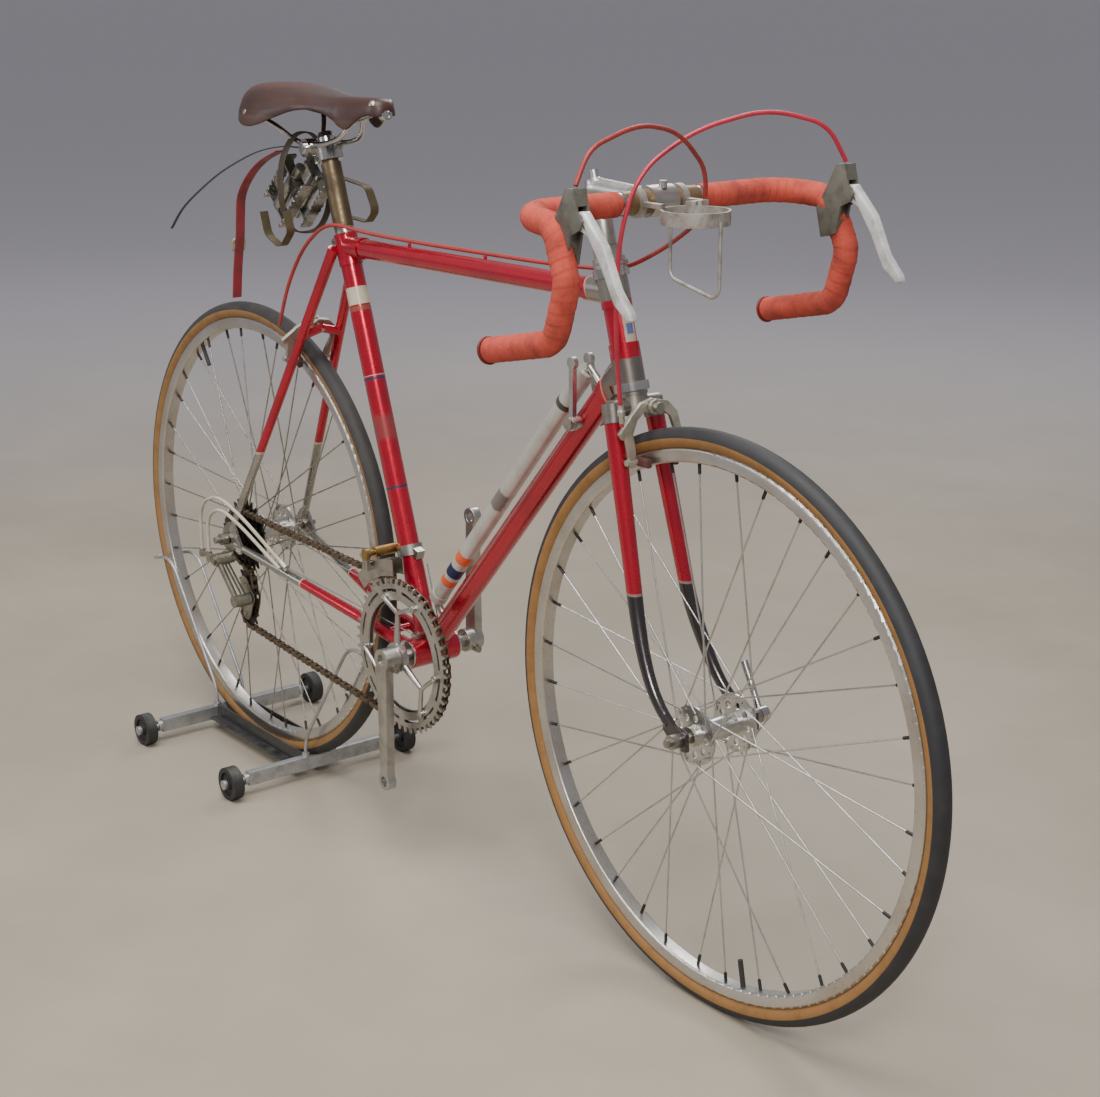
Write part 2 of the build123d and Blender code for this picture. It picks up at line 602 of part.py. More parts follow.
def flange_points(axle, flange_right, flange_left, phase):
    """Each spoke's end at the hub and at the rim, crossed three times."""
    per_side = SPOKES // 2
    ends = []
    for number in range(SPOKES):
        side_y = flange_right if number % 2 == 0 else flange_left
        outward = 1 if (number // 2) % 2 == 0 else -1
        at_rim = math.radians(phase) + 2 * math.pi * number / SPOKES
        at_hub = at_rim + outward * 2 * math.pi * 3 / per_side
        hub = axle + Vector(SPOKE_HOLE_R * math.sin(at_hub), side_y, SPOKE_HOLE_R * math.cos(at_hub))
        end = axle + Vector(0, math.copysign(NIPPLE_OFFSET, side_y), 0)
        end += Vector(RIM_INNER_R * math.sin(at_rim), 0, RIM_INNER_R * math.cos(at_rim))
        ends.append((hub, end, outward * math.copysign(1, side_y), side_y))
    return ends


FLANGE_HALF = 1.5
NIPPLE_LENGTH = 12.0


def spokes(axle, flange_right, flange_left, phase):
    """Thirty-six crossed spokes with their nipples, each clear of the flange by a hair."""
    with BuildPart() as wires:
        for hub, end, face, side_y in flange_points(axle, flange_right, flange_left, phase):
            outer_face = face * side_y > 0
            stand_off = FLANGE_HALF + SPOKE_R + (2.4 if outer_face else 0.15)
            near = hub + Vector(0, face * stand_off, 0)
            along = (end - near).normalized()
            bar(near, end - along * 0.3, SPOKE_R)
            bar(end - along * NIPPLE_LENGTH, end - along * 0.6, 1.9)
    return wires


def hub(axle, flange_right, flange_left, half_length, phase, freewheel_side=False):
    """A large-flange hub shell turning on its axle."""
    with BuildPart() as shell:
        bar(axle + Vector(0, flange_right - 4, 0), axle + Vector(0, flange_left + 4, 0), 12.5)
        for y, turn in ((flange_right, 0), (flange_left, 360 / SPOKES)):
            with BuildSketch(side_plane(y + FLANGE_HALF, axle)):
                Circle(FLANGE_R)
                with PolarLocations(SPOKE_HOLE_R, SPOKES // 2, start_angle=90 - phase - turn):
                    Circle(1.25, mode=Mode.SUBTRACT)
                with PolarLocations(21.5, 9):
                    Circle(4.2, mode=Mode.SUBTRACT)
            extrude(amount=2 * FLANGE_HALF)
        if not freewheel_side:
            bar(axle + Vector(0, -half_length, 0), axle + Vector(0, flange_right, 0), 11.5)
        bar(axle + Vector(0, flange_left, 0), axle + Vector(0, half_length, 0), 11.5)
        bar(axle + Vector(0, -half_length - 20, 0), axle + Vector(0, half_length + 20, 0), AXLE_R + CLEAR,
            mode=Mode.SUBTRACT)
    return shell


FRONT_FLANGE = 31.0
REAR_FLANGE_RIGHT = -19.0
REAR_FLANGE_LEFT = 33.0
finish(rim(FRONT_AXLE, FRONT_VALVE_ANGLE), "front_rim")
finish(rim(REAR_AXLE, REAR_VALVE_ANGLE), "rear_rim")
finish(tyre(FRONT_AXLE, FRONT_VALVE_ANGLE), "front_tyre")
finish(tyre(REAR_AXLE, REAR_VALVE_ANGLE), "rear_tyre")
finish(spokes(FRONT_AXLE, -FRONT_FLANGE, FRONT_FLANGE, FRONT_SPOKE_PHASE), "front_spokes")
finish(spokes(REAR_AXLE, REAR_FLANGE_RIGHT, REAR_FLANGE_LEFT, REAR_SPOKE_PHASE), "rear_spokes")
finish(hub(FRONT_AXLE, -FRONT_FLANGE, FRONT_FLANGE, 40.0, FRONT_SPOKE_PHASE), "front_hub")
finish(hub(REAR_AXLE, REAR_FLANGE_RIGHT, REAR_FLANGE_LEFT, 46.0, REAR_SPOKE_PHASE, True), "rear_hub")


NUT_R = 8.5


def axle_set(axle, half_over_locknuts, tip_thickness, reach_right, reach_left):
    """An axle with its lock nuts inside the tips and its clamping nuts outside them."""
    outside = half_over_locknuts + tip_thickness
    with BuildPart() as spindle_set:
        bar(axle - Vector(0, reach_right, 0), axle + Vector(0, reach_left, 0), AXLE_R)
        for side in (-1, 1):
            inner_nut = half_over_locknuts - 6
            bar(axle + Vector(0, side * inner_nut, 0), axle + Vector(0, side * half_over_locknuts, 0), NUT_R)
            bar(axle + Vector(0, side * outside, 0), axle + Vector(0, side * (outside + 11), 0), NUT_R)
    return spindle_set


finish(axle_set(FRONT_AXLE, FRONT_HALF_OLN, TIP_PLATE, 72, 78), "front_axle")
finish(axle_set(REAR_AXLE, REAR_HALF_OLN, DROPOUT_THICKNESS, 84, 84), "rear_axle")

# ---------------------------------------------------------------- front quick-release lever
QR_PIVOT = FRONT_AXLE + Vector(0, 72, 0)
with BuildPart() as quick_release:
    bar(QR_PIVOT - Vector(0, 5.6, 0), QR_PIVOT + Vector(0, 5.6, 0), 9.0)
    bar(QR_PIVOT + Vector(-6, 1, 6), QR_PIVOT + Vector(-40, 9, 50), 3.6, 4.4)
    bar(QR_PIVOT - Vector(0, 7, 0), QR_PIVOT + Vector(0, 7, 0), AXLE_R + CLEAR, mode=Mode.SUBTRACT)
finish(quick_release, "front_quick_release_lever")

# ---------------------------------------------------------------- chain wheels and cranks
inner_ring = toothed(INNER_TEETH, 74, CHAIN_Y, 2.0, BRACKET)
outer_ring = toothed(OUTER_TEETH, 76, CHAIN_Y - RING_GAP, 2.0, BRACKET)
RING_BOLT_R = 81.0
SPIDER_ARMS = 3
WINDOW_R = 88.6
WINDOW_WIDTH = 4.0
WINDOWS = 12
SPIDER_SPREAD = 24.0
spider_back = CHAIN_Y - RING_GAP - 1.0
with BuildPart() as chainrings:
    add(inner_ring.part)
    add(outer_ring.part)
    for arm in range(SPIDER_ARMS):
        for spread in (-SPIDER_SPREAD, SPIDER_SPREAD):
            angle = math.radians(90 + arm * 360 / SPIDER_ARMS + spread)
            centre = BRACKET + Vector(RING_BOLT_R * math.cos(angle), 0, RING_BOLT_R * math.sin(angle))
            bar((centre.X, CHAIN_Y + 2, centre.Z), (centre.X, spider_back + 0.5, centre.Z), 5.0)
    # the row of arc-shaped windows in each ring
    with BuildSketch(side_plane(CHAIN_Y + 4, BRACKET)):
        Circle(WINDOW_R + WINDOW_WIDTH / 2)
        Circle(WINDOW_R - WINDOW_WIDTH / 2, mode=Mode.SUBTRACT)
        with PolarLocations(WINDOW_R, WINDOWS):
            Rectangle(3 * WINDOW_WIDTH, 3 * WINDOW_WIDTH, mode=Mode.SUBTRACT)
    extrude(amount=20, mode=Mode.SUBTRACT)
finish(chainrings, "chainrings")


def crank(side, spider):
    """A steel crank hanging or standing from the spindle, with a boss, an arm and a pedal eye."""
    outer_y = side * CRANK_Y
    up = -1 if side < 0 else 1
    eye = BRACKET + Vector(0, 0, up * CRANK_LENGTH)
    with BuildPart() as arm:
        bar((BRACKET.X, side * 54, BRACKET.Z), (BRACKET.X, outer_y, BRACKET.Z), 15.5)
        with BuildSketch(side_plane(max(side * (CRANK_Y - CRANK_THICKNESS), outer_y))):
            with Locations((BRACKET.X, BRACKET.Z)):
                Circle(15.5)
            with Locations((eye.X, eye.Z)):
                Circle(12)
            with BuildLine():
                root, end = BRACKET.Z + up * 8, eye.Z - up * 6
                Polyline((BRACKET.X - 11, root), (eye.X - 8, end), (eye.X + 8, end),
                         (BRACKET.X + 11, root), (BRACKET.X - 11, root))
            make_face()
        extrude(amount=CRANK_THICKNESS)
        if spider:
            bar((BRACKET.X, spider_back - 9, BRACKET.Z), (BRACKET.X, spider_back, BRACKET.Z), 20)
            bar((BRACKET.X, spider_back - 9, BRACKET.Z), (BRACKET.X, -54, BRACKET.Z), 15.5)
            for number in range(SPIDER_ARMS):
                middle = math.radians(90 + number * 360 / SPIDER_ARMS)
                outward = Vector(math.cos(middle), 0, math.sin(middle))
                fork = BRACKET + outward * 60 + Vector(0, spider_back - 3, 0)
                bar(BRACKET + outward * 14 + Vector(0, spider_back - 4, 0), fork, 5, 3)
                for spread in (-SPIDER_SPREAD, SPIDER_SPREAD):
                    angle = middle + math.radians(spread)
                    bolt = BRACKET + Vector(0, spider_back - 3, 0)
                    bolt += Vector(RING_BOLT_R * math.cos(angle), 0, RING_BOLT_R * math.sin(angle))
                    bar(fork, bolt, 3)
                    bar(bolt - Vector(0, 1.5, 0), bolt + Vector(0, 3, 0), 5)
        bar(BRACKET, BRACKET + Vector(0, side * (CRANK_Y + 1), 0), SPINDLE_R, mode=Mode.SUBTRACT)
        bar((eye.X, side * (CRANK_Y - 20), eye.Z), (eye.X, side * (CRANK_Y + 8), eye.Z), PEDAL_THREAD_R,
            mode=Mode.SUBTRACT)
        cotter = BRACKET + COTTER_OFFSET + Vector(0, side * COTTER_Y, 0)
        bar(cotter - Vector(24, 0, 0), cotter + Vector(24, 0, 0), COTTER_R, mode=Mode.SUBTRACT)
    return arm


finish(crank(-1, True), "right_crank")
finish(crank(1, False), "left_crank")

with BuildPart() as spindle:
    bar(BRACKET - Vector(0, 74, 0), BRACKET + Vector(0, 74, 0), SPINDLE_R)
    for side in (-1, 1):
        cotter = BRACKET + COTTER_OFFSET + Vector(0, side * COTTER_Y, 0)
        bar(cotter - Vector(20, 0, 0), cotter + Vector(20, 0, 0), COTTER_R)
finish(spindle, "crank_spindle")

# ---------------------------------------------------------------- freewheel
with BuildPart() as freewheel:
    for number, teeth in enumerate(COG_TEETH):
        add(toothed(teeth, 16, CHAIN_Y + COG_PITCH_Y * (2 - number), 2.0, REAR_AXLE).part)
    bar(REAR_AXLE + Vector(0, REAR_FLANGE_RIGHT - 7.5, 0), REAR_AXLE + Vector(0, -53.2, 0), 22)
    bar(REAR_AXLE + Vector(0, -20, 0), REAR_AXLE + Vector(0, -56, 0), AXLE_R + 0.3, mode=Mode.SUBTRACT)
finish(freewheel, "freewheel")


# ---------------------------------------------------------------- chain
def tangent(centre_a, radius_a, turn_a, centre_b, radius_b, turn_b):
    """Where a belt leaves wheel a and reaches wheel b; a turn is +1 clockwise seen from the right, else -1."""
    dx, dz = centre_b.X - centre_a.X, centre_b.Z - centre_a.Z
    distance = math.hypot(dx, dz)
    base = math.atan2(dz, dx)
    lean = math.asin((turn_a * radius_a - turn_b * radius_b) / distance)
    normal = base + math.pi / 2 - lean
    nx, nz = math.cos(normal), math.sin(normal)
    leave = (centre_a.X + turn_a * radius_a * nx, centre_a.Z + turn_a * radius_a * nz)
    reach = (centre_b.X + turn_b * radius_b * nx, centre_b.Z + turn_b * radius_b * nz)
    return leave, reach


CHAIN_WHEELS = [
    (REAR_AXLE, teeth_radius(COG_TEETH[2]), 1),
    (BRACKET, teeth_radius(INNER_TEETH), 1),
    (TENSION, teeth_radius(PULLEY_TEETH), 1),
    (GUIDE, teeth_radius(PULLEY_TEETH), -1),
]
LINK_HALF_HEIGHT = 4.0
LINK_PLATE = 1.1
LINK_INNER = 2.1
ROLLER_MARGIN = 41.0        # the rollers start this far from a wheel, clear of its teeth


def chain_path():
    """The straight runs of the chain, in order, as pairs of points."""
    runs = []
    for (a, ra, ta), (b, rb, tb) in zip(CHAIN_WHEELS, CHAIN_WHEELS[1:] + CHAIN_WHEELS[:1]):
        runs.append(tangent(a, ra, ta, b, rb, tb))
    return runs


runs = chain_path()


def arc_middle(centre, radius, arrive, leave, turn):
    """A point half way round the arc that the chain takes on a wheel."""
    start = math.atan2(arrive[1] - centre.Z, arrive[0] - centre.X)
    end = math.atan2(leave[1] - centre.Z, leave[0] - centre.X)
    sweep_angle = (start - end) % (2 * math.pi) if turn > 0 else (end - start) % (2 * math.pi)
    middle = start - turn * sweep_angle / 2
    return (centre.X + radius * math.cos(middle), centre.Z + radius * math.sin(middle))


with BuildPart() as chain:
    for side in (-1, 1):
        inner_face = CHAIN_Y + side * LINK_INNER
        with BuildSketch(side_plane(inner_face + (LINK_PLATE if side > 0 else 0))):
            with BuildLine() as loop:
                for index, (wheel_centre, wheel_radius, wheel_turn) in enumerate(CHAIN_WHEELS):
                    arrive = runs[index - 1][1]
                    leave = runs[index][0]
                    middle = arc_middle(wheel_centre, wheel_radius, arrive, leave, wheel_turn)
                    ThreePointArc(arrive, middle, leave)
                    Line(leave, runs[index][1])
            trace(line_width=2 * LINK_HALF_HEIGHT)
        extrude(amount=LINK_PLATE)
    for start, end in runs[:2]:
        length = math.dist(start, end)
        count = int((length - 2 * ROLLER_MARGIN) // CHAIN_PITCH)
        for number in range(count + 1):
            t = (ROLLER_MARGIN + number * CHAIN_PITCH) / length
            x = start[0] + (end[0] - start[0]) * t
            z = start[1] + (end[1] - start[1]) * t
            bar((x, CHAIN_Y - LINK_INNER - 0.5, z), (x, CHAIN_Y + LINK_INNER + 0.5, z), 3.6)
finish(chain, "chain")

# ---------------------------------------------------------------- rear gear mechanism
CAGE_OUTER_Y = -47.7
CAGE_INNER_Y = -35.8
CAGE_PLATE = 1.5
PULLEY_BOLT_R = 2.5
CAGE_PIN_R = 3.5

with BuildPart() as rear_mech:
    bar(HANGER + Vector(0, -57, 0), HANGER + Vector(0, -66, 0), HANGER_BOLT_R)
    bar(HANGER + Vector(0, -64.4, 0), HANGER + Vector(0, -90, 0), 9.0)
    bar(CAGE_PIVOT + Vector(0, -50, 0), CAGE_PIVOT + Vector(0, -76, 0), 9.0)
    bar(CAGE_PIVOT + Vector(0, -45.6, 0), CAGE_PIVOT + Vector(0, -52, 0), CAGE_PIN_R)
    bar(HANGER + Vector(2, -84, -2), CAGE_PIVOT + Vector(0, -70, 0), 4.4)
    bar(HANGER + Vector(-2, -71, -4), CAGE_PIVOT + Vector(-2, -56, 2), 4.0)
    bar(HANGER + Vector(0, -79, 0), (-541, -79, 312), 3.6)
    bar((-541, -77, 306), (-541, -77, 317), 4.6)
    bar((-513, -81, 306), (-513, -81, 320), 4.6)
    bar(HANGER + Vector(0, -88, 0), HANGER + Vector(0, -93, 0), 6.0)
finish(rear_mech, "rear_mech_body")

with BuildPart() as cage:
    for y, corners in (
        (CAGE_OUTER_Y, (GUIDE, TENSION, CAGE_PIVOT)),
        (CAGE_INNER_Y, (GUIDE, TENSION)),
    ):
        with BuildSketch(side_plane(y + CAGE_PLATE)):
            with BuildLine():
                Polyline((GUIDE.X - 9, GUIDE.Z + 3), (GUIDE.X + 7, GUIDE.Z + 8),
                         (CAGE_PIVOT.X + 8, CAGE_PIVOT.Z + 5), (CAGE_PIVOT.X + 6, CAGE_PIVOT.Z - 8),
                         (TENSION.X + 10, TENSION.Z - 5), (TENSION.X - 9, TENSION.Z - 5),
                         (GUIDE.X - 9, GUIDE.Z + 3))
            make_face()
            for corner in corners:
                with Locations((corner.X, corner.Z)):
                    Circle(10)
        extrude(amount=CAGE_PLATE)
    for centre in (GUIDE, TENSION):
        bar((centre.X, CAGE_INNER_Y, centre.Z), (centre.X, CAGE_OUTER_Y - 2, centre.Z), PULLEY_BOLT_R)
    bar(CAGE_PIVOT + Vector(0, CAGE_OUTER_Y - 1, 0), CAGE_PIVOT + Vector(0, CAGE_INNER_Y + 3, 0),
        CAGE_PIN_R + CLEAR, mode=Mode.SUBTRACT)
finish(cage, "rear_mech_cage")

for centre, name in ((GUIDE, "guide_pulley"), (TENSION, "tension_pulley")):
    wheel = toothed(PULLEY_TEETH, PULLEY_BOLT_R + CLEAR, CHAIN_Y, 2.0, centre, chain_wheel=False)
    with BuildPart() as pulley:
        add(wheel.part)
        bar((centre.X, CHAIN_Y - 4.8, centre.Z), (centre.X, CHAIN_Y + 4.8, centre.Z), 6.5)
        bar((centre.X, CHAIN_Y - 6, centre.Z), (centre.X, CHAIN_Y + 6, centre.Z), PULLEY_BOLT_R + CLEAR,
            mode=Mode.SUBTRACT)
    finish(pulley, name)

# ---------------------------------------------------------------- front gear mechanism
PLUNGER = Vector(-128, 0, 404)
PLUNGER_R = 4.0
MECH_CYLINDER_R = 7.0
CAGE_BOTTOM_R = 108.0
CAGE_TOP_R = 130.0

with BuildPart() as front_mech_cage:
    for y in (-48.5, -32.0):
        with BuildSketch(side_plane(y, BRACKET)):
            Circle(CAGE_TOP_R)
            Circle(CAGE_BOTTOM_R, mode=Mode.SUBTRACT)
            with BuildLine():
                Polyline((0, 0), (-300, 280), (-300, 400), (-36, 400), (0, 0))
            make_face(mode=Mode.INTERSECT)
        extrude(amount=1.5)
    box((-148, -41, 392), (14, 18, 2), turn=(0, 35, 0))
    bar(PLUNGER + Vector(0, -26, 0), PLUNGER + Vector(0, -53, 0), PLUNGER_R)
    bar(PLUNGER + Vector(0, -52, 0), PLUNGER + Vector(0, -59, 0), MECH_CYLINDER_R)
    box((-128, -56, 393), (12, 5, 22))
    box((-128, -52.5, 385), (12, 8, 6))
finish(front_mech_cage, "front_mech_cage")

# ---------------------------------------------------------------- fittings brazed or clamped to the frame
SHIFT_BOSS = Vector(262, 0, 647)
SHIFT_PIN_R = 3.5
PUMP_LOW = Vector(-45, 0, 353)
PUMP_HIGH = Vector(262, 0, 706)
PUMP_R = 11.0
CABLE_STOP = Vector(-352, -50, 333)
clamp_centre = on_line(BRACKET, UP_SEAT, 404)
pump_along = (PUMP_HIGH - PUMP_LOW).normalized()
to_tube = Vector(pump_along.Z, 0, -pump_along.X)

with BuildPart() as fittings:
    # front gear clamp with its fixed cylinder
    bar(clamp_centre - UP_SEAT * 7, clamp_centre + UP_SEAT * 7, SEAT_TUBE_R + 3)
    box((clamp_centre.X + 20, 0, 404), (10, 12, 12), turn=(0, 18.7, 0))
    bar(PLUNGER + Vector(0, -8, 0), PLUNGER + Vector(0, -43, 0), MECH_CYLINDER_R)
    bar(PLUNGER + Vector(0, -22, 0), PLUNGER + Vector(0, -44, 0), PLUNGER_R + CLEAR, mode=Mode.SUBTRACT)
    bar(BRACKET, seat_top, SEAT_TUBE_R, mode=Mode.SUBTRACT)
with BuildPart() as shift_boss:
    bar(SHIFT_BOSS - Vector(0, 29, 0), SHIFT_BOSS + Vector(0, 29, 0), SHIFT_PIN_R)
    bar(SHIFT_BOSS - Vector(0, 18.4, 0), SHIFT_BOSS + Vector(0, 18.4, 0), 8.0)
    for side in (-1, 1):
        bar(SHIFT_BOSS + Vector(0, side * 24.9, 0), SHIFT_BOSS + Vector(0, side * 30, 0), 7.5)
    bar(BRACKET, down_tube_front, DOWN_TUBE_R, mode=Mode.SUBTRACT)
with BuildPart() as pump_pegs:
    for end, inward in ((PUMP_LOW, -1), (PUMP_HIGH, 1)):
        tip = end + pump_along * inward * 6
        bar(tip, tip + to_tube * 30, 4.0, 5.0)
        bar(tip - pump_along * inward * 5.5, tip + pump_along * inward * 2, 4.6)
    bar(BRACKET, down_tube_front, DOWN_TUBE_R, mode=Mode.SUBTRACT)
    bar(down_tube_front - along_down * 52, down_tube_front, DOWN_TUBE_R + LUG_WALL, mode=Mode.SUBTRACT)
with BuildPart() as stops:
    bar((-352, -46.5, 320), (-352, -51, 333), 2.6)
    bar((-345, -51, 330), (-357, -52.6, 337), 4.6)
    bar((CHAIN_STAY_BEND.X, -CHAIN_STAY_BEND.Y, CHAIN_STAY_BEND.Z),
        (CHAIN_STAY_END.X, -CHAIN_STAY_END.Y, CHAIN_STAY_END.Z), 8.2, 5.4, mode=Mode.SUBTRACT)
with BuildPart() as guides:
    box((-66, 0, 299.5), (14, 50, 5))
    bar(shell_left, shell_right, SHELL_R, mode=Mode.SUBTRACT)
    bar(BRACKET, BRACKET + UP_SEAT * 38, SEAT_TUBE_R + LUG_WALL, mode=Mode.SUBTRACT)
    bar(BRACKET, BRACKET + along_down * 38, DOWN_TUBE_R + LUG_WALL, mode=Mode.SUBTRACT)
with BuildPart() as binder:
    ear = seat_top - UP_SEAT * 10 + Vector(-20, 0, -2)
    bar(ear - Vector(0, 8, 0), ear + Vector(0, 8, 0), 4.5)
    bar(ear - Vector(0, 9.6, 0), ear + Vector(0, 9.6, 0), 3.0)
    bar(seat_top - UP_SEAT * 44, seat_top + UP_SEAT, SEAT_TUBE_R + LUG_WALL, mode=Mode.SUBTRACT)
with BuildPart() as cable_posts:
    for x, y, under in ((210, 13, 814.0), (60, 5, 811.8), (-90, -3, 811.0)):
        bar((x, y, 796), (x, y, under), 2.2)
    bar(top_tube_rear, top_tube_front, TOP_TUBE_R, mode=Mode.SUBTRACT)
with BuildPart() as fittings_all:
    for piece in (fittings, shift_boss, pump_pegs, stops, guides, binder, cable_posts):
        add(piece.part)
    add(caliper_bolt(REAR_BRAKE, 14).part)
finish(fittings_all, "frame_fittings")

with BuildPart() as pump:
    bar(PUMP_LOW, PUMP_HIGH, PUMP_R)
    bar(PUMP_HIGH - pump_along * 62, PUMP_HIGH - pump_along * 58, PUMP_R + 1)
    bar(PUMP_LOW, PUMP_LOW + pump_along * 12, PUMP_R + 0.8)
    for end, inward in ((PUMP_LOW, -1), (PUMP_HIGH, 1)):
        bar(end + pump_along * inward * 2, end - pump_along * inward * 2, 4.9, mode=Mode.SUBTRACT)
finish(pump, "pump")


def shift_lever(side, lean):
    """A flat lever on its boss with a rounded tip, leaning by the given angle from straight up."""
    with BuildPart() as lever:
        with BuildSketch(side_plane(side * 21.7 + 3.0, SHIFT_BOSS)):
            Circle(9)
            with Locations((70 * math.sin(math.radians(lean)), 70 * math.cos(math.radians(lean)))):
                Circle(7)
            with Locations(Location((0, 0, 0), -lean)):
                with Locations((0, 35)):
                    Rectangle(7, 70)
            Circle(SHIFT_PIN_R + CLEAR, mode=Mode.SUBTRACT)
        extrude(amount=6.0)
    return lever


finish(shift_lever(-1, 0), "right_shift_lever")
finish(shift_lever(1, -20), "left_shift_lever")

# ---------------------------------------------------------------- seatpost and saddle
POST_CLAMP_Z = 905.0
post_low = on_line(BRACKET, UP_SEAT, 690)
post_top = on_line(BRACKET, UP_SEAT, 928)
clamp = on_line(BRACKET, UP_SEAT, POST_CLAMP_Z)
with BuildPart() as seatpost:
    bar(post_low, clamp - UP_SEAT * 10, SEATPOST_R)
    bar(clamp - UP_SEAT * 10, post_top, 11.0)
    bar(post_top, post_top + UP_SEAT * 7, 12.0, 9.0)
    bar(post_low - UP_SEAT, clamp - UP_SEAT * 30, SEATPOST_R - 1.8, mode=Mode.SUBTRACT)
finish(seatpost, "seatpost")

RAIL_R = 3.5
RAIL_Y = 20.0
RAIL = [
    (-205, -7, 957), (-222, -16, 932), (-262, -RAIL_Y, 921),
    (-325, -RAIL_Y, 920), (-352, -40, 945), (-392, -62, 962),
]
with BuildPart() as saddle_frame:
    for points in (RAIL, mirrored(RAIL)):
        add(swept(points, largest_radii(points), RAIL_R).part)
    bar((-207, -12, 957), (-207, 12, 957), 5.0)
    bar((-206, 0, 957), (-140, 0, 973), 4.0)
    bar(Vector(-296, -32, 915), Vector(-296, 32, 915), 5.0)
    for side in (-1, 1):
        bar((-296, side * 14, 915), (-296, side * 27, 915), 12.0)
    box((-280, 0, 908), (34, 24, 20), turn=(0, -18, 0))
    bar((-392, -64, 962), (-392, 64, 962), 3.6)
    bar(clamp - UP_SEAT * 6, clamp + UP_SEAT * 12, 17.5)
    bar(clamp - UP_SEAT * 30, clamp + UP_SEAT * 40, 13.3, mode=Mode.SUBTRACT)
with BuildPart() as saddle_clamp:
    bar(clamp - UP_SEAT * 6, clamp + UP_SEAT * 12, 13.6)
    bar(clamp - UP_SEAT * 30, clamp + UP_SEAT * 40, 11.05, mode=Mode.SUBTRACT)
with BuildPart() as saddle_frame_all:
    add(saddle_frame.part)
    add(saddle_clamp.part)
finish(saddle_frame_all, "saddle_frame")

# sections of the leather: x, half width, top height, skirt height
LEATHER = [
    (-434, 40, 984, 966), (-414, 70, 1001, 958), (-370, 77, 1003, 948), (-320, 70, 999, 948),
    (-280, 46, 993, 966), (-235, 30, 988, 966), (-195, 25, 986, 950), (-155, 22, 984, 955),
    (-134, 15, 979, 961),
]
LEATHER_THICK = 4.5


def leather_solid(inset):
    """The saddle's domed form, shrunk by the inset on the sides and the top."""
    with BuildPart() as form:
        for x, half, top, skirt in LEATHER:
            low = skirt - (30 if inset else 0)
            wide, high = half - inset, top - inset
            with BuildSketch(Plane(origin=(x, 0, 0), x_dir=(0, 1, 0), z_dir=(1, 0, 0))):
                with BuildLine():
                    cheek = (skirt + high) / 2 + 4
                    shoulder = high - 3.5
                    Spline((-wide, skirt), (-wide * 0.93, cheek), (-wide * 0.55, shoulder), (0, high),
                           (wide * 0.55, shoulder), (wide * 0.93, cheek), (wide, skirt))
                    if inset:
                        Polyline((wide, skirt), (wide, low), (-wide, low), (-wide, skirt))
                    else:
                        Line((wide, skirt), (-wide, skirt))
                make_face()
        loft()
    return form


with BuildPart() as saddle_top:
    add(leather_solid(0).part)
    add(leather_solid(LEATHER_THICK).part, mode=Mode.SUBTRACT)
    bar((-392, -90, 962), (-392, 90, 962), 4.0, mode=Mode.SUBTRACT)
finish(saddle_top, "saddle_top")

# ---------------------------------------------------------------- spare pedals and their straps under the saddle
PEDAL_LEAN = 44.0
PEDAL_BARREL_R = 9.0
PEDAL_HALF = 30.0
PEDAL_CAGE_HALF = 44.0
PEDAL_CAGE_Y = 26.0
CLIP_WIDTH = 12.0
CLIP_THICKNESS = 1.4


def pedal(centre, turned):
    """A quill pedal lying on its side: barrel, two serrated plates, end plates and threaded stub."""
    teeth = 9
    with BuildPart() as body:
        with Locations(Location(centre, (0, -PEDAL_LEAN - (180 if turned else 0), 0))):
            with Locations(Location((0, 0, 0), (0, 90, 0))):
                Cylinder(PEDAL_BARREL_R, 2 * PEDAL_HALF + 2)
                Cylinder(5.5, 2 * PEDAL_HALF + 12)
            with Locations(Location((PEDAL_HALF + 12, 0, 0), (0, 90, 0))):
                Cylinder(6.9, 16)
            for side in (-1, 1):
                with Locations((0, 0, side * PEDAL_CAGE_Y)):
                    Box(2 * PEDAL_CAGE_HALF, 15, 2)
                with Locations((side * PEDAL_HALF, 0, 0)):
                    Box(2, 15, 2 * PEDAL_CAGE_Y)
                for number in range(teeth):
                    along = (number - (teeth - 1) / 2) * 2 * PEDAL_CAGE_HALF / teeth
                    with Locations((along, 7.5, side * PEDAL_CAGE_Y), (along, -7.5, side * PEDAL_CAGE_Y)):
                        Box(5, 3, 2)
    return body


def strip(y, points, radii, width, thickness):
    """A flat strip that bends in a fore-and-aft plane, from y towards the rider's right by its width."""
    with BuildPart() as band:
        with BuildSketch(side_plane(y)):
            with BuildLine():
                FilletPolyline(*points, radius=radii)
            trace(line_width=thickness)
        extrude(amount=width)
    return band


with BuildPart() as spare_pedals:
    add(pedal((-342, -27, 855), False).part)
    add(pedal((-338, 5, 853), True).part)
    right_clip = [(-317, 832), (-306, 806), (-330, 782), (-366, 796), (-376, 826)]
    add(strip(-39, right_clip, [10, 16, 18], CLIP_WIDTH, CLIP_THICKNESS).part)
    left_clip = [(-300, 876), (-222, 868), (-204, 838), (-222, 822), (-304, 826)]
    add(strip(29, left_clip, [16, 12, 8], CLIP_WIDTH, CLIP_THICKNESS).part)
finish(spare_pedals, "spare_pedals")

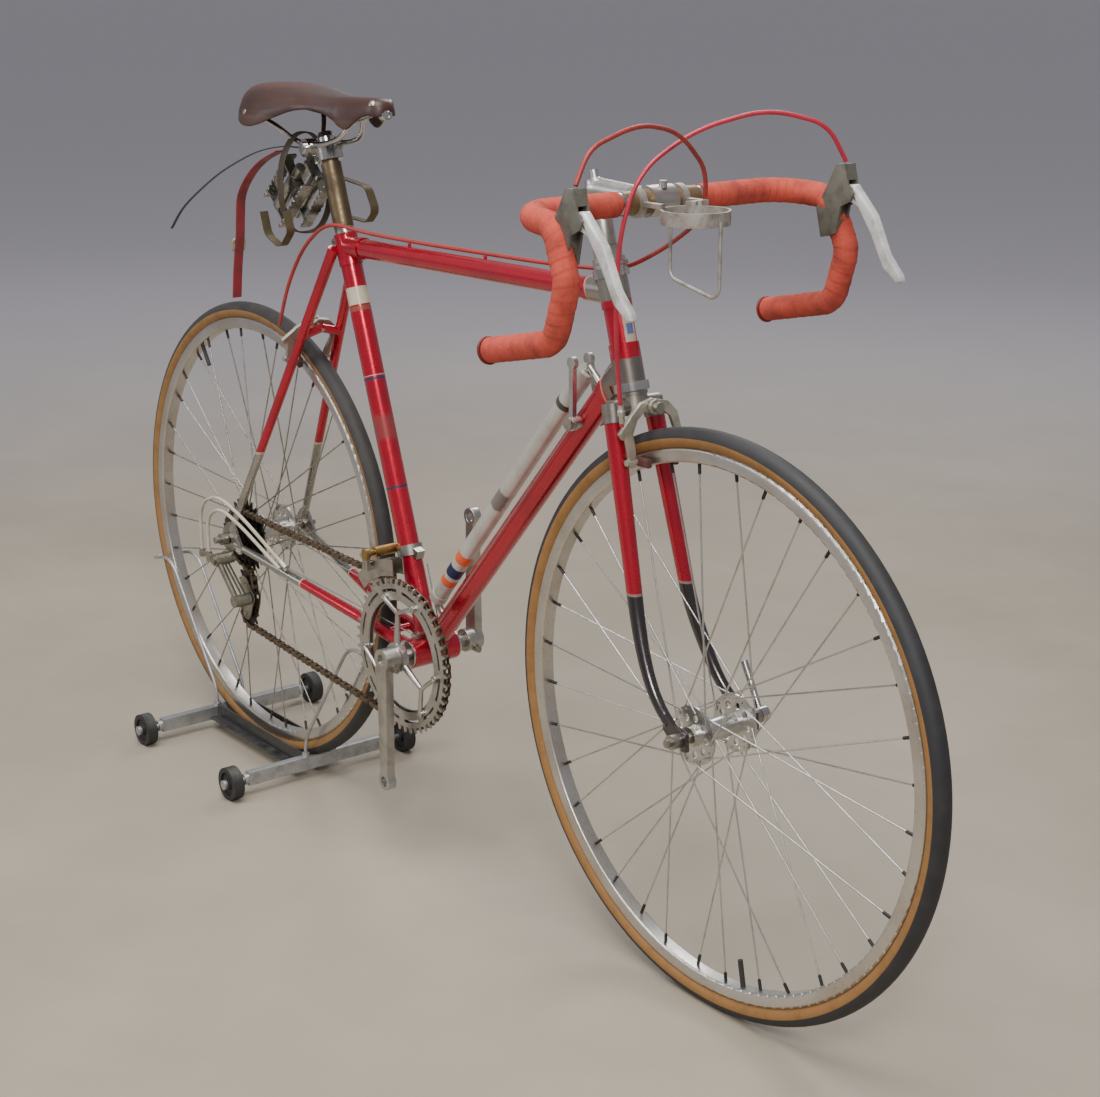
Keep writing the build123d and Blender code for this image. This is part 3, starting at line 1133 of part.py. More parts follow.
STRAP_WIDTH = 14.0
with BuildPart() as strap_loop:
    with BuildSketch(Plane(origin=(-333, 0, 0), x_dir=(0, 1, 0), z_dir=(1, 0, 0))):
        with Locations((-9, 866.5)):
            RectangleRounded(80, 135, 6)
            RectangleRounded(75.6, 130.6, 4, mode=Mode.SUBTRACT)
    extrude(amount=STRAP_WIDTH)
with BuildPart() as strap_tail:
    hanging = [(-369, 905), (-436, 878), (-474, 838), (-486, 790), (-503, 690)]
    add(strip(-14, hanging, [20, 24, 30], STRAP_WIDTH, 2.4).part)
    box((-480, -21, 800), (7, 20, 12), turn=(0, 14, 0))
tie_tail = [
    (-312, -24, 914.4), (-360, -22, 912), (-480, -14, 888),
    (-640, -4, 822), (-690, -2, 796), (-730, 0, 762),
]
cable_tie = swept(tie_tail, largest_radii(tie_tail), 1.7)
with BuildPart() as toe_straps:
    for piece in (strap_loop, strap_tail, cable_tie):
        add(piece.part)
finish(toe_straps, "toe_straps")

# ---------------------------------------------------------------- bottle cage on the handlebar
BOTTLE_RING = Vector(450, -10, 900)
BOTTLE_RING_R = 37.0
CAGE_WIRE_R = 2.0
with BuildPart() as bottle_ring:
    with BuildSketch(Plane(origin=(BOTTLE_RING.X, BOTTLE_RING.Y, 892))):
        Circle(BOTTLE_RING_R)
        Circle(BOTTLE_RING_R - 2, mode=Mode.SUBTRACT)
    extrude(amount=15)
    for y in (-36, 24):
        bar((BAR_CENTRE.X, y, BAR_CENTRE.Z), (BAR_CENTRE.X, y + 8, BAR_CENTRE.Z), 16.5)
        box((407, y + 4, 909), (32, 8, 5))
        bar((BAR_CENTRE.X, y - 1, BAR_CENTRE.Z), (BAR_CENTRE.X, y + 9, BAR_CENTRE.Z), BAR_R + 0.9,
            mode=Mode.SUBTRACT)
    box((421, -2, 909), (6, 68, 5))
    box((427, -2, 903), (3, 40, 17))
    with BuildSketch(Plane(origin=(BOTTLE_RING.X, BOTTLE_RING.Y, 880))):
        Circle(BOTTLE_RING_R - 2)
    extrude(amount=40, mode=Mode.SUBTRACT)
wire_points = [(411.4, -10, 898), (411.4, -10, 832), (488.6, -10, 816), (488.6, -10, 898)]
bottle_wire = swept(wire_points, [12, 12], CAGE_WIRE_R)
with BuildPart() as bottle_cage:
    add(bottle_ring.part)
    add(bottle_wire.part)
finish(bottle_cage, "bottle_cage")

# ---------------------------------------------------------------- cables
FRONT_CABLE = [
    (472, 188, 946), (466, 164, 986), (440, 100, 1004), (412, 20, 984),
    (399, -44, 944), (392, -64, 880), (381, -60, 780), (378.9, -47, 668),
]
REAR_CABLE = [
    (472, -188, 946), (468, -168, 980), (462, -100, 1000), (434, -20, 986), (412, 40, 940),
    (400, 46, 888), (352, 36, 852), (288, 28, 820), (180, 10, 816.5), (-60, 2, 813),
    (-170, -14, 816), (-246, -27, 824), (-300, -32, 785), (-336, -36, 730), (-350, -43, 674),
]
cable_front = cord("front brake cable", FRONT_CABLE)
with BuildPart() as bar_cables:
    add(cable_front.part)
finish(bar_cables, "bar_cables")

GEAR_LOOPS = [
    [(-357.5, -52.7, 337.5), (-430, -72, 391), (-480, -80, 412), (-541, -77, 388), (-541, -77, 317.5)],
    [(-350, -58.6, 329.5), (-425, -74, 376), (-472, -82, 396), (-513, -81, 374), (-513, -81, 320.5)],
]
WIRE_R = 0.8
with BuildPart() as gear_wires:
    bar((-344, -50, 331), (-74, -26, 303), WIRE_R)
    for side in (-1, 1):
        bar((-30, side * 16.5, 316.5), (SHIFT_BOSS.X - 8, side * 19.5, SHIFT_BOSS.Z - 9), WIRE_R)
        bar((-64, side * 22, 303), (-30, side * 16.5, 316.5), WIRE_R)
    bar((-68, 18, 303), (-95, 18.5, 384), WIRE_R)
frame_cord_pieces = [cord("rear brake cable", REAR_CABLE)]
frame_cord_pieces += [cord("gear cable", points) for points in GEAR_LOOPS]
with BuildPart() as frame_cables:
    for piece in frame_cord_pieces + [gear_wires]:
        add(piece.part)
finish(frame_cables, "frame_cables")

# ---------------------------------------------------------------- stand
BAR_LENGTH_Y = 242.0
BAR_DEPTH = 12.0
BAR_LOW = 14.0
BAR_HIGH = 34.0
STAND_X = (REAR_AXLE.X + STAND_HALF_LENGTH, REAR_AXLE.X - STAND_HALF_LENGTH)
STAND_AXLE_R = 4.0
HOOP_R = 2.5
HOOP_Y = 23.0
with BuildPart() as stand_frame:
    for x in STAND_X:
        box((x, 0, (BAR_LOW + BAR_HIGH) / 2), (BAR_DEPTH, BAR_LENGTH_Y, BAR_HIGH - BAR_LOW))
        for side in (-1, 1):
            bar((x, side * 118, STAND_WHEEL_R), (x, side * (STAND_TRACK + 14), STAND_WHEEL_R), STAND_AXLE_R)
            bar((x, side * 121, STAND_WHEEL_R), (x, side * 128, STAND_WHEEL_R), 8.0)
            bar((x, side * (STAND_TRACK + 9), STAND_WHEEL_R),
                (x, side * (STAND_TRACK + 14), STAND_WHEEL_R), 7.0)
            bar((x, side * HOOP_Y, BAR_HIGH), (x, side * HOOP_Y, BAR_HIGH + 5), 5.5)
            bar((x, side * HOOP_Y, BAR_LOW - 1), (x, side * HOOP_Y, BAR_HIGH + 6), HOOP_R, mode=Mode.SUBTRACT)
    bar(REAR_AXLE - Vector(0, 15.5, 0), REAR_AXLE + Vector(0, 15.5, 0), TYRE_R + 0.8, mode=Mode.SUBTRACT)
finish(stand_frame, "stand_frame")

RAIL_LENGTH = 2 * STAND_HALF_LENGTH - BAR_DEPTH
with BuildPart() as stand_rails:
    for side in (-1, 1):
        box((REAR_AXLE.X, side * 25.5, 27), (RAIL_LENGTH, 3, 22))
        box((REAR_AXLE.X, side * 33, 17.5), (RAIL_LENGTH, 14, 3))
finish(stand_rails, "stand_rails")

with BuildPart() as stand_hoops:
    for direction in (-1, 1):
        leg = [(direction * 131, 15), (direction * 131, 60), (direction * 262, 245), (direction * 330, 226)]
        right_leg = [(REAR_AXLE.X + x, -HOOP_Y, z) for x, z in leg]
        hoop_points = right_leg + mirrored(right_leg)[::-1]
        add(swept(hoop_points, largest_radii(hoop_points), HOOP_R).part)
finish(stand_hoops, "stand_hoops")


def stand_wheel(x, side):
    """A rubber wheel with a raised rim and a hub, bored for its axle."""
    y = side * STAND_TRACK
    with BuildPart() as wheel:
        bar((x, y - STAND_WHEEL_HALF, STAND_WHEEL_R), (x, y + STAND_WHEEL_HALF, STAND_WHEEL_R),
            STAND_WHEEL_R)
        for face in (-1, 1):
            start = Vector(x, y + face * STAND_WHEEL_HALF, STAND_WHEEL_R)
            bar(start, start - Vector(0, face * 3, 0), 17.0, mode=Mode.SUBTRACT)
            bar(start, start - Vector(0, face * 3, 0), 8.5)
        bar((x, y - 20, STAND_WHEEL_R), (x, y + 20, STAND_WHEEL_R), STAND_AXLE_R + CLEAR,
            mode=Mode.SUBTRACT)
    return wheel


for x, end in zip(STAND_X, ("front", "rear")):
    for side, hand in ((-1, "right"), (1, "left")):
        finish(stand_wheel(x, side), f"stand_{end}_{hand}_wheel")
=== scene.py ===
"""A road bicycle on a wheeled display stand, dressed with its finishes and soft pieces."""

import logging
import math
from dataclasses import dataclass, field
from enum import Enum
from typing import Callable, Iterable

import bmesh
import bpy
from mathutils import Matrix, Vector


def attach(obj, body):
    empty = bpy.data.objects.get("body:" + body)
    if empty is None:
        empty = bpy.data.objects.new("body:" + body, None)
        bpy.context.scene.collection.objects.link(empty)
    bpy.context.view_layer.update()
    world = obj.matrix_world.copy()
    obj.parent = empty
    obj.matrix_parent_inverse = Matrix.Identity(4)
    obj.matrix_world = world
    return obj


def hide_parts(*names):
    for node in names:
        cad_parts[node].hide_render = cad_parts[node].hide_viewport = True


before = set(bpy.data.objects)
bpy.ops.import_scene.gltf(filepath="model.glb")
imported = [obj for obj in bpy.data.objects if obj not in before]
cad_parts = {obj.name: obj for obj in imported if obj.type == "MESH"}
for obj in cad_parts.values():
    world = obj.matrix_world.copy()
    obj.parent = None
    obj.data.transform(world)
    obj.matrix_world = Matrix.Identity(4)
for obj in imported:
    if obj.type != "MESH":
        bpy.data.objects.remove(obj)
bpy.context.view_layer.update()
LOG = logging.getLogger("bicycle")
MM = 0.001
Colour = tuple[float, float, float]
Point = tuple[float, float, float]

BRACKET: Point = (-65, 0, 277)
UP_SEAT: Point = (-0.32061, 0, 0.94721)
UP_HEAD: Point = (-0.28402, 0, 0.95882)
HEAD_POINT: Point = (326, 0, 742)
FRONT_AXLE: Point = (488, 0, 338)
REAR_AXLE: Point = (-488, 0, 343)
FORWARD: Point = (1, 0, 0)
LEFT: Point = (0, 1, 0)
UP: Point = (0, 0, 1)
NOWHERE: Point = (0, 0, 0)


# ---------------------------------------------------------------- node writing
class Graph:
    """Writes the nodes and links of one material or node group."""

    def __init__(self, tree: bpy.types.NodeTree) -> None:
        """Start on a node tree."""
        self.tree = tree

    def node(self, kind: str, settings: dict | None = None, **inputs) -> bpy.types.Node:
        """Add a node.

        Args:
            kind: the node's type name, without the leading ShaderNode.
            settings: properties of the node itself.
            inputs: values or sockets by input name, with underscores for spaces.

        Returns:
            The new node.
        """
        made = self.tree.nodes.new("ShaderNode" + kind)
        for name, value in (settings or {}).items():
            setattr(made, name, value)
        for name, value in inputs.items():
            self.feed(made.inputs[name.replace("_", " ")], value)
        return made

    def feed(self, socket: bpy.types.NodeSocket, value) -> None:
        """Link a socket to an input, or set the input's own value."""
        if isinstance(value, bpy.types.NodeSocket):
            self.tree.links.new(value, socket)
        elif socket.type == "RGBA":
            socket.default_value = (*value[:3], 1.0)
        else:
            socket.default_value = value

    def math(self, operation: str, first, second=0.0, third=0.0) -> bpy.types.NodeSocket:
        """A number worked out from up to three others."""
        made = self.tree.nodes.new("ShaderNodeMath")
        made.operation = operation
        for socket, value in zip(made.inputs, (first, second, third)):
            self.feed(socket, value)
        return made.outputs[0]

    def vector(self, operation: str, first, second=(0, 0, 0)) -> bpy.types.Node:
        """A vector operation on two vectors."""
        made = self.tree.nodes.new("ShaderNodeVectorMath")
        made.operation = operation
        self.feed(made.inputs[0], first)
        self.feed(made.inputs[1], second)
        return made

    def step(self, value, low, high, out_low=0.0, out_high=1.0) -> bpy.types.NodeSocket:
        """A smooth step of a value between two limits."""
        made = self.node("MapRange", {"interpolation_type": "SMOOTHSTEP"})
        for name, given in zip(("Value", "From Min", "From Max", "To Min", "To Max"),
                               (value, low, high, out_low, out_high)):
            self.feed(made.inputs[name], given)
        return made.outputs["Result"]

    def mix(self, factor, first, second) -> bpy.types.NodeSocket:
        """A colour between two others."""
        made = self.node("Mix", {"data_type": "RGBA"})
        self.feed(made.inputs["Factor"], factor)
        self.feed(made.inputs[6], first)
        self.feed(made.inputs[7], second)
        return made.outputs[2]

    def blend(self, factor, first, second) -> bpy.types.NodeSocket:
        """A number between two others."""
        made = self.node("Mix", {"data_type": "FLOAT"})
        self.feed(made.inputs["Factor"], factor)
        self.feed(made.inputs[2], first)
        self.feed(made.inputs[3], second)
        return made.outputs[0]

    def noise(self, vector, scale, detail=3.0, roughness=0.55) -> bpy.types.NodeSocket:
        """Fractal noise as a number."""
        return self.node("TexNoise", None, Vector=vector, Scale=scale, Detail=detail,
                         Roughness=roughness).outputs["Fac"]


class Effects:
    """The node groups that several finishes share, each built once."""

    def __init__(self) -> None:
        """Build every group."""
        self.patina = self._build("patina", (
            ("Vector", "Vector"), ("Colour", "Color"), ("Stain", "Color"), ("Stretch", "Vector"),
            ("Scale", "Float"), ("Amount", "Float"), ("Roughness", "Float"),
        ), (("Colour", "Color"), ("Roughness", "Float"), ("Height", "Float")), self._patina)
        self.along = self._region("along_line", False, False)
        self.either = self._region("along_both_ways", False, True)
        self.around = self._region("around_line", True, False)
        self.dust = self._build("dust", (("Colour", "Color"), ("Roughness", "Float"), ("Amount", "Float")),
                                (("Colour", "Color"), ("Roughness", "Float")), self._dust)
        self.weave = self._build("weave", (("Vector", "Vector"), ("Threads", "Float")),
                                 (("Height", "Float"), ("Mask", "Float")), self._weave)
        self.grain = self._build("grain", (("Vector", "Vector"), ("Scale", "Float")),
                                 (("Height", "Float"), ("Mask", "Float")), self._grain)

    @staticmethod
    def _build(name: str, inputs: tuple, outputs: tuple, write: Callable) -> bpy.types.NodeTree:
        """Make a group with named sockets and let a writer fill it.

        Args:
            name: the group's name.
            inputs: (name, type) pairs.
            outputs: (name, type) pairs.
            write: called with the graph, the group's input node and its output node.

        Returns:
            The finished group.
        """
        tree = bpy.data.node_groups.new(name, "ShaderNodeTree")
        for socket, kind in inputs:
            tree.interface.new_socket(socket, in_out="INPUT", socket_type="NodeSocket" + kind)
        for socket, kind in outputs:
            tree.interface.new_socket(socket, in_out="OUTPUT", socket_type="NodeSocket" + kind)
        source = tree.nodes.new("NodeGroupInput")
        sink = tree.nodes.new("NodeGroupOutput")
        write(Graph(tree), source.outputs, sink.inputs)
        return tree

    @staticmethod
    def _patina(graph: Graph, given, out) -> None:
        """Uneven tone, fine mottle and dark specks of age."""
        place = graph.vector("MULTIPLY", given["Vector"], given["Stretch"]).outputs[0]
        broad = graph.noise(place, given["Scale"], 5.0, 0.6)
        fine = graph.noise(place, graph.math("MULTIPLY", given["Scale"], 9.0), 4.0, 0.6)
        speck = graph.noise(place, graph.math("MULTIPLY", given["Scale"], 26.0), 2.0, 0.5)
        cloud = graph.step(broad, 0.4, 0.72)
        spots = graph.step(speck, 0.62, 0.72)
        stained = graph.math("MULTIPLY", graph.math("ADD", cloud, graph.math("MULTIPLY", fine, 0.35)),
                             given["Amount"])
        stained = graph.math("ADD", stained, graph.math("MULTIPLY", spots, given["Amount"]), 0.0)
        stained = graph.node("Clamp", None, Value=stained).outputs[0]
        graph.feed(out["Colour"], graph.mix(stained, given["Colour"], given["Stain"]))
        rough = graph.math("ADD", given["Roughness"], graph.math("MULTIPLY", stained, 0.22))
        rough = graph.math("ADD", rough, graph.math("MULTIPLY", graph.math("SUBTRACT", fine, 0.5), 0.16))
        graph.feed(out["Roughness"], graph.node("Clamp", None, Value=rough).outputs[0])
        graph.feed(out["Height"], graph.math("SUBTRACT", fine, graph.math("MULTIPLY", spots, 0.6)))

    def _region(self, name: str, from_line: bool, both_ways: bool) -> bpy.types.NodeTree:
        """A mask of all points whose distance along, or from, a line is between two limits."""

        def write(graph: Graph, given, out) -> None:
            """Measure, then step up at the low limit and down at the high one."""
            place = graph.vector("SUBTRACT", given["Vector"], given["Origin"]).outputs[0]
            if from_line:
                crossed = graph.vector("CROSS_PRODUCT", place, given["Direction"]).outputs[0]
                distance = graph.vector("LENGTH", crossed).outputs["Value"]
            else:
                distance = graph.vector("DOT_PRODUCT", place, given["Direction"]).outputs["Value"]
            if both_ways:
                distance = graph.math("ABSOLUTE", distance)
            wobble = graph.noise(given["Vector"], 260.0, 2.0)
            wobble = graph.math("MULTIPLY", graph.math("SUBTRACT", wobble, 0.5), given["Soft"])
            distance = graph.math("ADD", distance, wobble)
            half = graph.math("MULTIPLY", given["Soft"], 0.35)
            above = graph.step(distance, graph.math("SUBTRACT", given["Low"], half),
                               graph.math("ADD", given["Low"], half))
            below = graph.step(distance, graph.math("SUBTRACT", given["High"], half),
                               graph.math("ADD", given["High"], half), 1.0, 0.0)
            graph.feed(out["Mask"], graph.math("MULTIPLY", above, below))

        return self._build(name, (
            ("Vector", "Vector"), ("Origin", "Vector"), ("Direction", "Vector"),
            ("Low", "Float"), ("High", "Float"), ("Soft", "Float"),
        ), (("Mask", "Float"),), write)

    @staticmethod
    def _dust(graph: Graph, given, out) -> None:
        """Pale dust on what faces up."""
        normal = graph.node("TexCoord").outputs["Normal"]
        upward = graph.node("SeparateXYZ", None, Vector=normal).outputs["Z"]
        place = graph.node("TexCoord").outputs["Object"]
        patchy = graph.step(graph.noise(place, 60.0, 5.0), 0.35, 0.7)
        lies = graph.math("MULTIPLY", graph.step(upward, 0.2, 0.95), patchy)
        lies = graph.math("MULTIPLY", lies, given["Amount"])
        graph.feed(out["Colour"], graph.mix(lies, given["Colour"], (0.42, 0.38, 0.32)))
        graph.feed(out["Roughness"], graph.blend(lies, given["Roughness"], 0.9))

    @staticmethod
    def _weave(graph: Graph, given, out) -> None:
        """Crossed threads on a map measured in metres."""
        parts = graph.node("SeparateXYZ", None, Vector=given["Vector"]).outputs
        across = graph.math("SINE", graph.math("MULTIPLY", parts["X"], given["Threads"]))
        down = graph.math("SINE", graph.math("MULTIPLY", parts["Y"], given["Threads"]))
        woven = graph.math("MULTIPLY", across, down)
        graph.feed(out["Height"], graph.math("ADD", graph.math("MULTIPLY", woven, 0.5), 0.5))
        graph.feed(out["Mask"], graph.step(woven, -0.6, 0.4))

    @staticmethod
    def _grain(graph: Graph, given, out) -> None:
        """Pores and creases of old leather."""
        cells = graph.node("TexVoronoi", {"feature": "DISTANCE_TO_EDGE"}, Vector=given["Vector"],
                           Scale=given["Scale"]).outputs["Distance"]
        fine = graph.noise(given["Vector"], graph.math("MULTIPLY", given["Scale"], 0.4), 6.0, 0.65)
        crease = graph.step(cells, 0.0, 0.12)
        graph.feed(out["Height"], graph.math("ADD", graph.math("MULTIPLY", crease, 0.45), fine))
        graph.feed(out["Mask"], graph.math("SUBTRACT", 1.0, crease))


# ---------------------------------------------------------------- finishes
class Measure(Enum):
    """How a region's distance is measured from its line."""

    ALONG = "along"
    EITHER_WAY = "either"
    AROUND = "around"


@dataclass(frozen=True)
class Region:
    """Points between two distances, in millimetres, along or around a line."""

    measure: Measure
    origin: Point
    direction: Point
    low: float
    high: float
    soft: float = 0.8


@dataclass(frozen=True)
class Zone:
    """A part of a finish that has another colour and gloss, where all its regions meet."""

    regions: tuple[Region, ...]
    colour: Colour
    metallic: float = 0.0
    roughness: float = 0.5
    strength: float = 1.0


@dataclass(frozen=True)
class Finish:
    """A surface finish: its colour and its stain, its gloss and its wear."""

    name: str
    colour: Colour
    stain: Colour
    metallic: float = 0.0
    roughness: float = 0.4
    scale: float = 24.0
    amount: float = 0.3
    bump: float = 0.1
    depth: float = 0.0003
    stretch: Point = (1.0, 1.0, 1.0)
    coat: float = 0.0
    dust: float = 0.0
    threads: float = 0.0
    pores: float = 0.0
    zones: tuple[Zone, ...] = field(default=())


class Palette:
    """Turns finishes into materials, each made once."""

    def __init__(self) -> None:
        """Build the shared effects."""
        self.effects = Effects()
        self.made: dict[str, bpy.types.Material] = {}

    def material(self, finish: Finish) -> bpy.types.Material:
        """The material of a finish.

        Args:
            finish: what the surface is like.

        Returns:
            The material, the same one each time.
        """
        if finish.name not in self.made:
            self.made[finish.name] = self._write(finish)
        return self.made[finish.name]

    def _group(self, graph: Graph, tree: bpy.types.NodeTree, **inputs) -> bpy.types.Node:
        """Place one of the shared groups."""
        made = graph.tree.nodes.new("ShaderNodeGroup")
        made.node_tree = tree
        for name, value in inputs.items():
            graph.feed(made.inputs[name], value)
        return made

    def _mask(self, graph: Graph, place, region: Region) -> bpy.types.NodeSocket:
        """The mask of one region."""
        tree = {Measure.ALONG: self.effects.along, Measure.EITHER_WAY: self.effects.either,
                Measure.AROUND: self.effects.around}[region.measure]
        made = self._group(graph, tree, Vector=place, Origin=[v * MM for v in region.origin],
                           Direction=region.direction, Low=region.low * MM, High=region.high * MM,
                           Soft=region.soft * MM)
        return made.outputs["Mask"]

    def _write(self, finish: Finish) -> bpy.types.Material:
        """Write the nodes of a finish."""
        material = bpy.data.materials.new(finish.name)
        material.use_nodes = True
        graph = Graph(material.node_tree)
        shader = material.node_tree.nodes["Principled BSDF"]
        place = graph.node("TexCoord").outputs["Object"]
        patina = self._group(graph, self.effects.patina, Vector=place, Colour=finish.colour,
                             Stain=finish.stain, Stretch=finish.stretch, Scale=finish.scale,
                             Amount=finish.amount, Roughness=finish.roughness)
        colour, rough = patina.outputs["Colour"], patina.outputs["Roughness"]
        height = patina.outputs["Height"]
        metallic = finish.metallic
        for zone in finish.zones:
            mask = self._mask(graph, place, zone.regions[0])
            for region in zone.regions[1:]:
                mask = graph.math("MULTIPLY", mask, self._mask(graph, place, region))
            worn = self._group(graph, self.effects.patina, Vector=place, Colour=zone.colour,
                               Stain=tuple(v * 0.35 for v in zone.colour), Stretch=finish.stretch,
                               Scale=finish.scale * 1.3, Amount=min(finish.amount, 0.3),
                               Roughness=zone.roughness)
            mask = graph.math("MULTIPLY", mask, zone.strength)
            colour = graph.mix(mask, colour, worn.outputs["Colour"])
            rough = graph.blend(mask, rough, worn.outputs["Roughness"])
            if zone.metallic != finish.metallic or isinstance(metallic, bpy.types.NodeSocket):
                metallic = graph.blend(mask, metallic, zone.metallic)
        if finish.threads:
            mapped = graph.node("UVMap", {"uv_map": "wrap"}).outputs["UV"]
            woven = self._group(graph, self.effects.weave, Vector=mapped, Threads=finish.threads)
            height = graph.math("ADD", graph.math("MULTIPLY", height, 0.5), woven.outputs["Height"])
            # The weave's low squares get a darker copy of the tape's colour: painted shade in the dips
            # between the threads.
            shade = graph.math("MULTIPLY", graph.math("SUBTRACT", 1.0, woven.outputs["Mask"]), 0.3)
            colour = graph.mix(shade, colour, tuple(v * 0.45 for v in finish.colour))
        if finish.pores:
            pores = self._group(graph, self.effects.grain, Vector=place, Scale=finish.pores)
            height = graph.math("ADD", graph.math("MULTIPLY", height, 0.5), pores.outputs["Height"])
            colour = graph.mix(graph.math("MULTIPLY", pores.outputs["Mask"], 0.35), colour, finish.stain)
        if finish.dust:
            dusty = self._group(graph, self.effects.dust, Colour=colour, Roughness=rough,
                                Amount=finish.dust)
            colour, rough = dusty.outputs["Colour"], dusty.outputs["Roughness"]
        graph.feed(shader.inputs["Base Color"], colour)
        graph.feed(shader.inputs["Roughness"], rough)
        graph.feed(shader.inputs["Metallic"], metallic)
        shader.inputs["Coat Weight"].default_value = finish.coat
        shader.inputs["Coat Roughness"].default_value = 0.12
        bump = graph.node("Bump", None, Strength=finish.bump, Distance=finish.depth, Height=height)
        graph.feed(shader.inputs["Normal"], bump.outputs["Normal"])
        return material


RED: Colour = (0.50, 0.003, 0.024)
RED_STAIN: Colour = (0.22, 0.002, 0.015)
CREAM: Colour = (0.62, 0.55, 0.40)
NAVY: Colour = (0.012, 0.018, 0.07)
ORANGE: Colour = (0.72, 0.11, 0.035)
GRIME: Colour = (0.10, 0.075, 0.05)


def seat_band(low_z: float, high_z: float, soft: float = 0.8) -> tuple[Region, ...]:
    """The seat tube between two heights."""
    low, high = ((z - BRACKET[2]) / UP_SEAT[2] for z in (low_z, high_z))
    return (Region(Measure.ALONG, BRACKET, UP_SEAT, low, high, soft),
            Region(Measure.AROUND, BRACKET, UP_SEAT, 0, 15.2, 0.2))


TUBE_ZONES = (
    Zone(seat_band(620.5, 623.5), NAVY, 0, 0.35),
    Zone(seat_band(625.5, 626.7), CREAM, 0, 0.4, 0.6),
    Zone(seat_band(482.5, 485.5), NAVY, 0, 0.35),
    Zone(seat_band(545, 575, 14.0), (0.09, 0.045, 0.03), 0, 0.6, 0.55),
    Zone(seat_band(716, 738), (0.52, 0.46, 0.34), 0, 0.45),
    Zone(seat_band(708, 714), (0.20, 0.07, 0.035), 0, 0.5, 0.8),
)

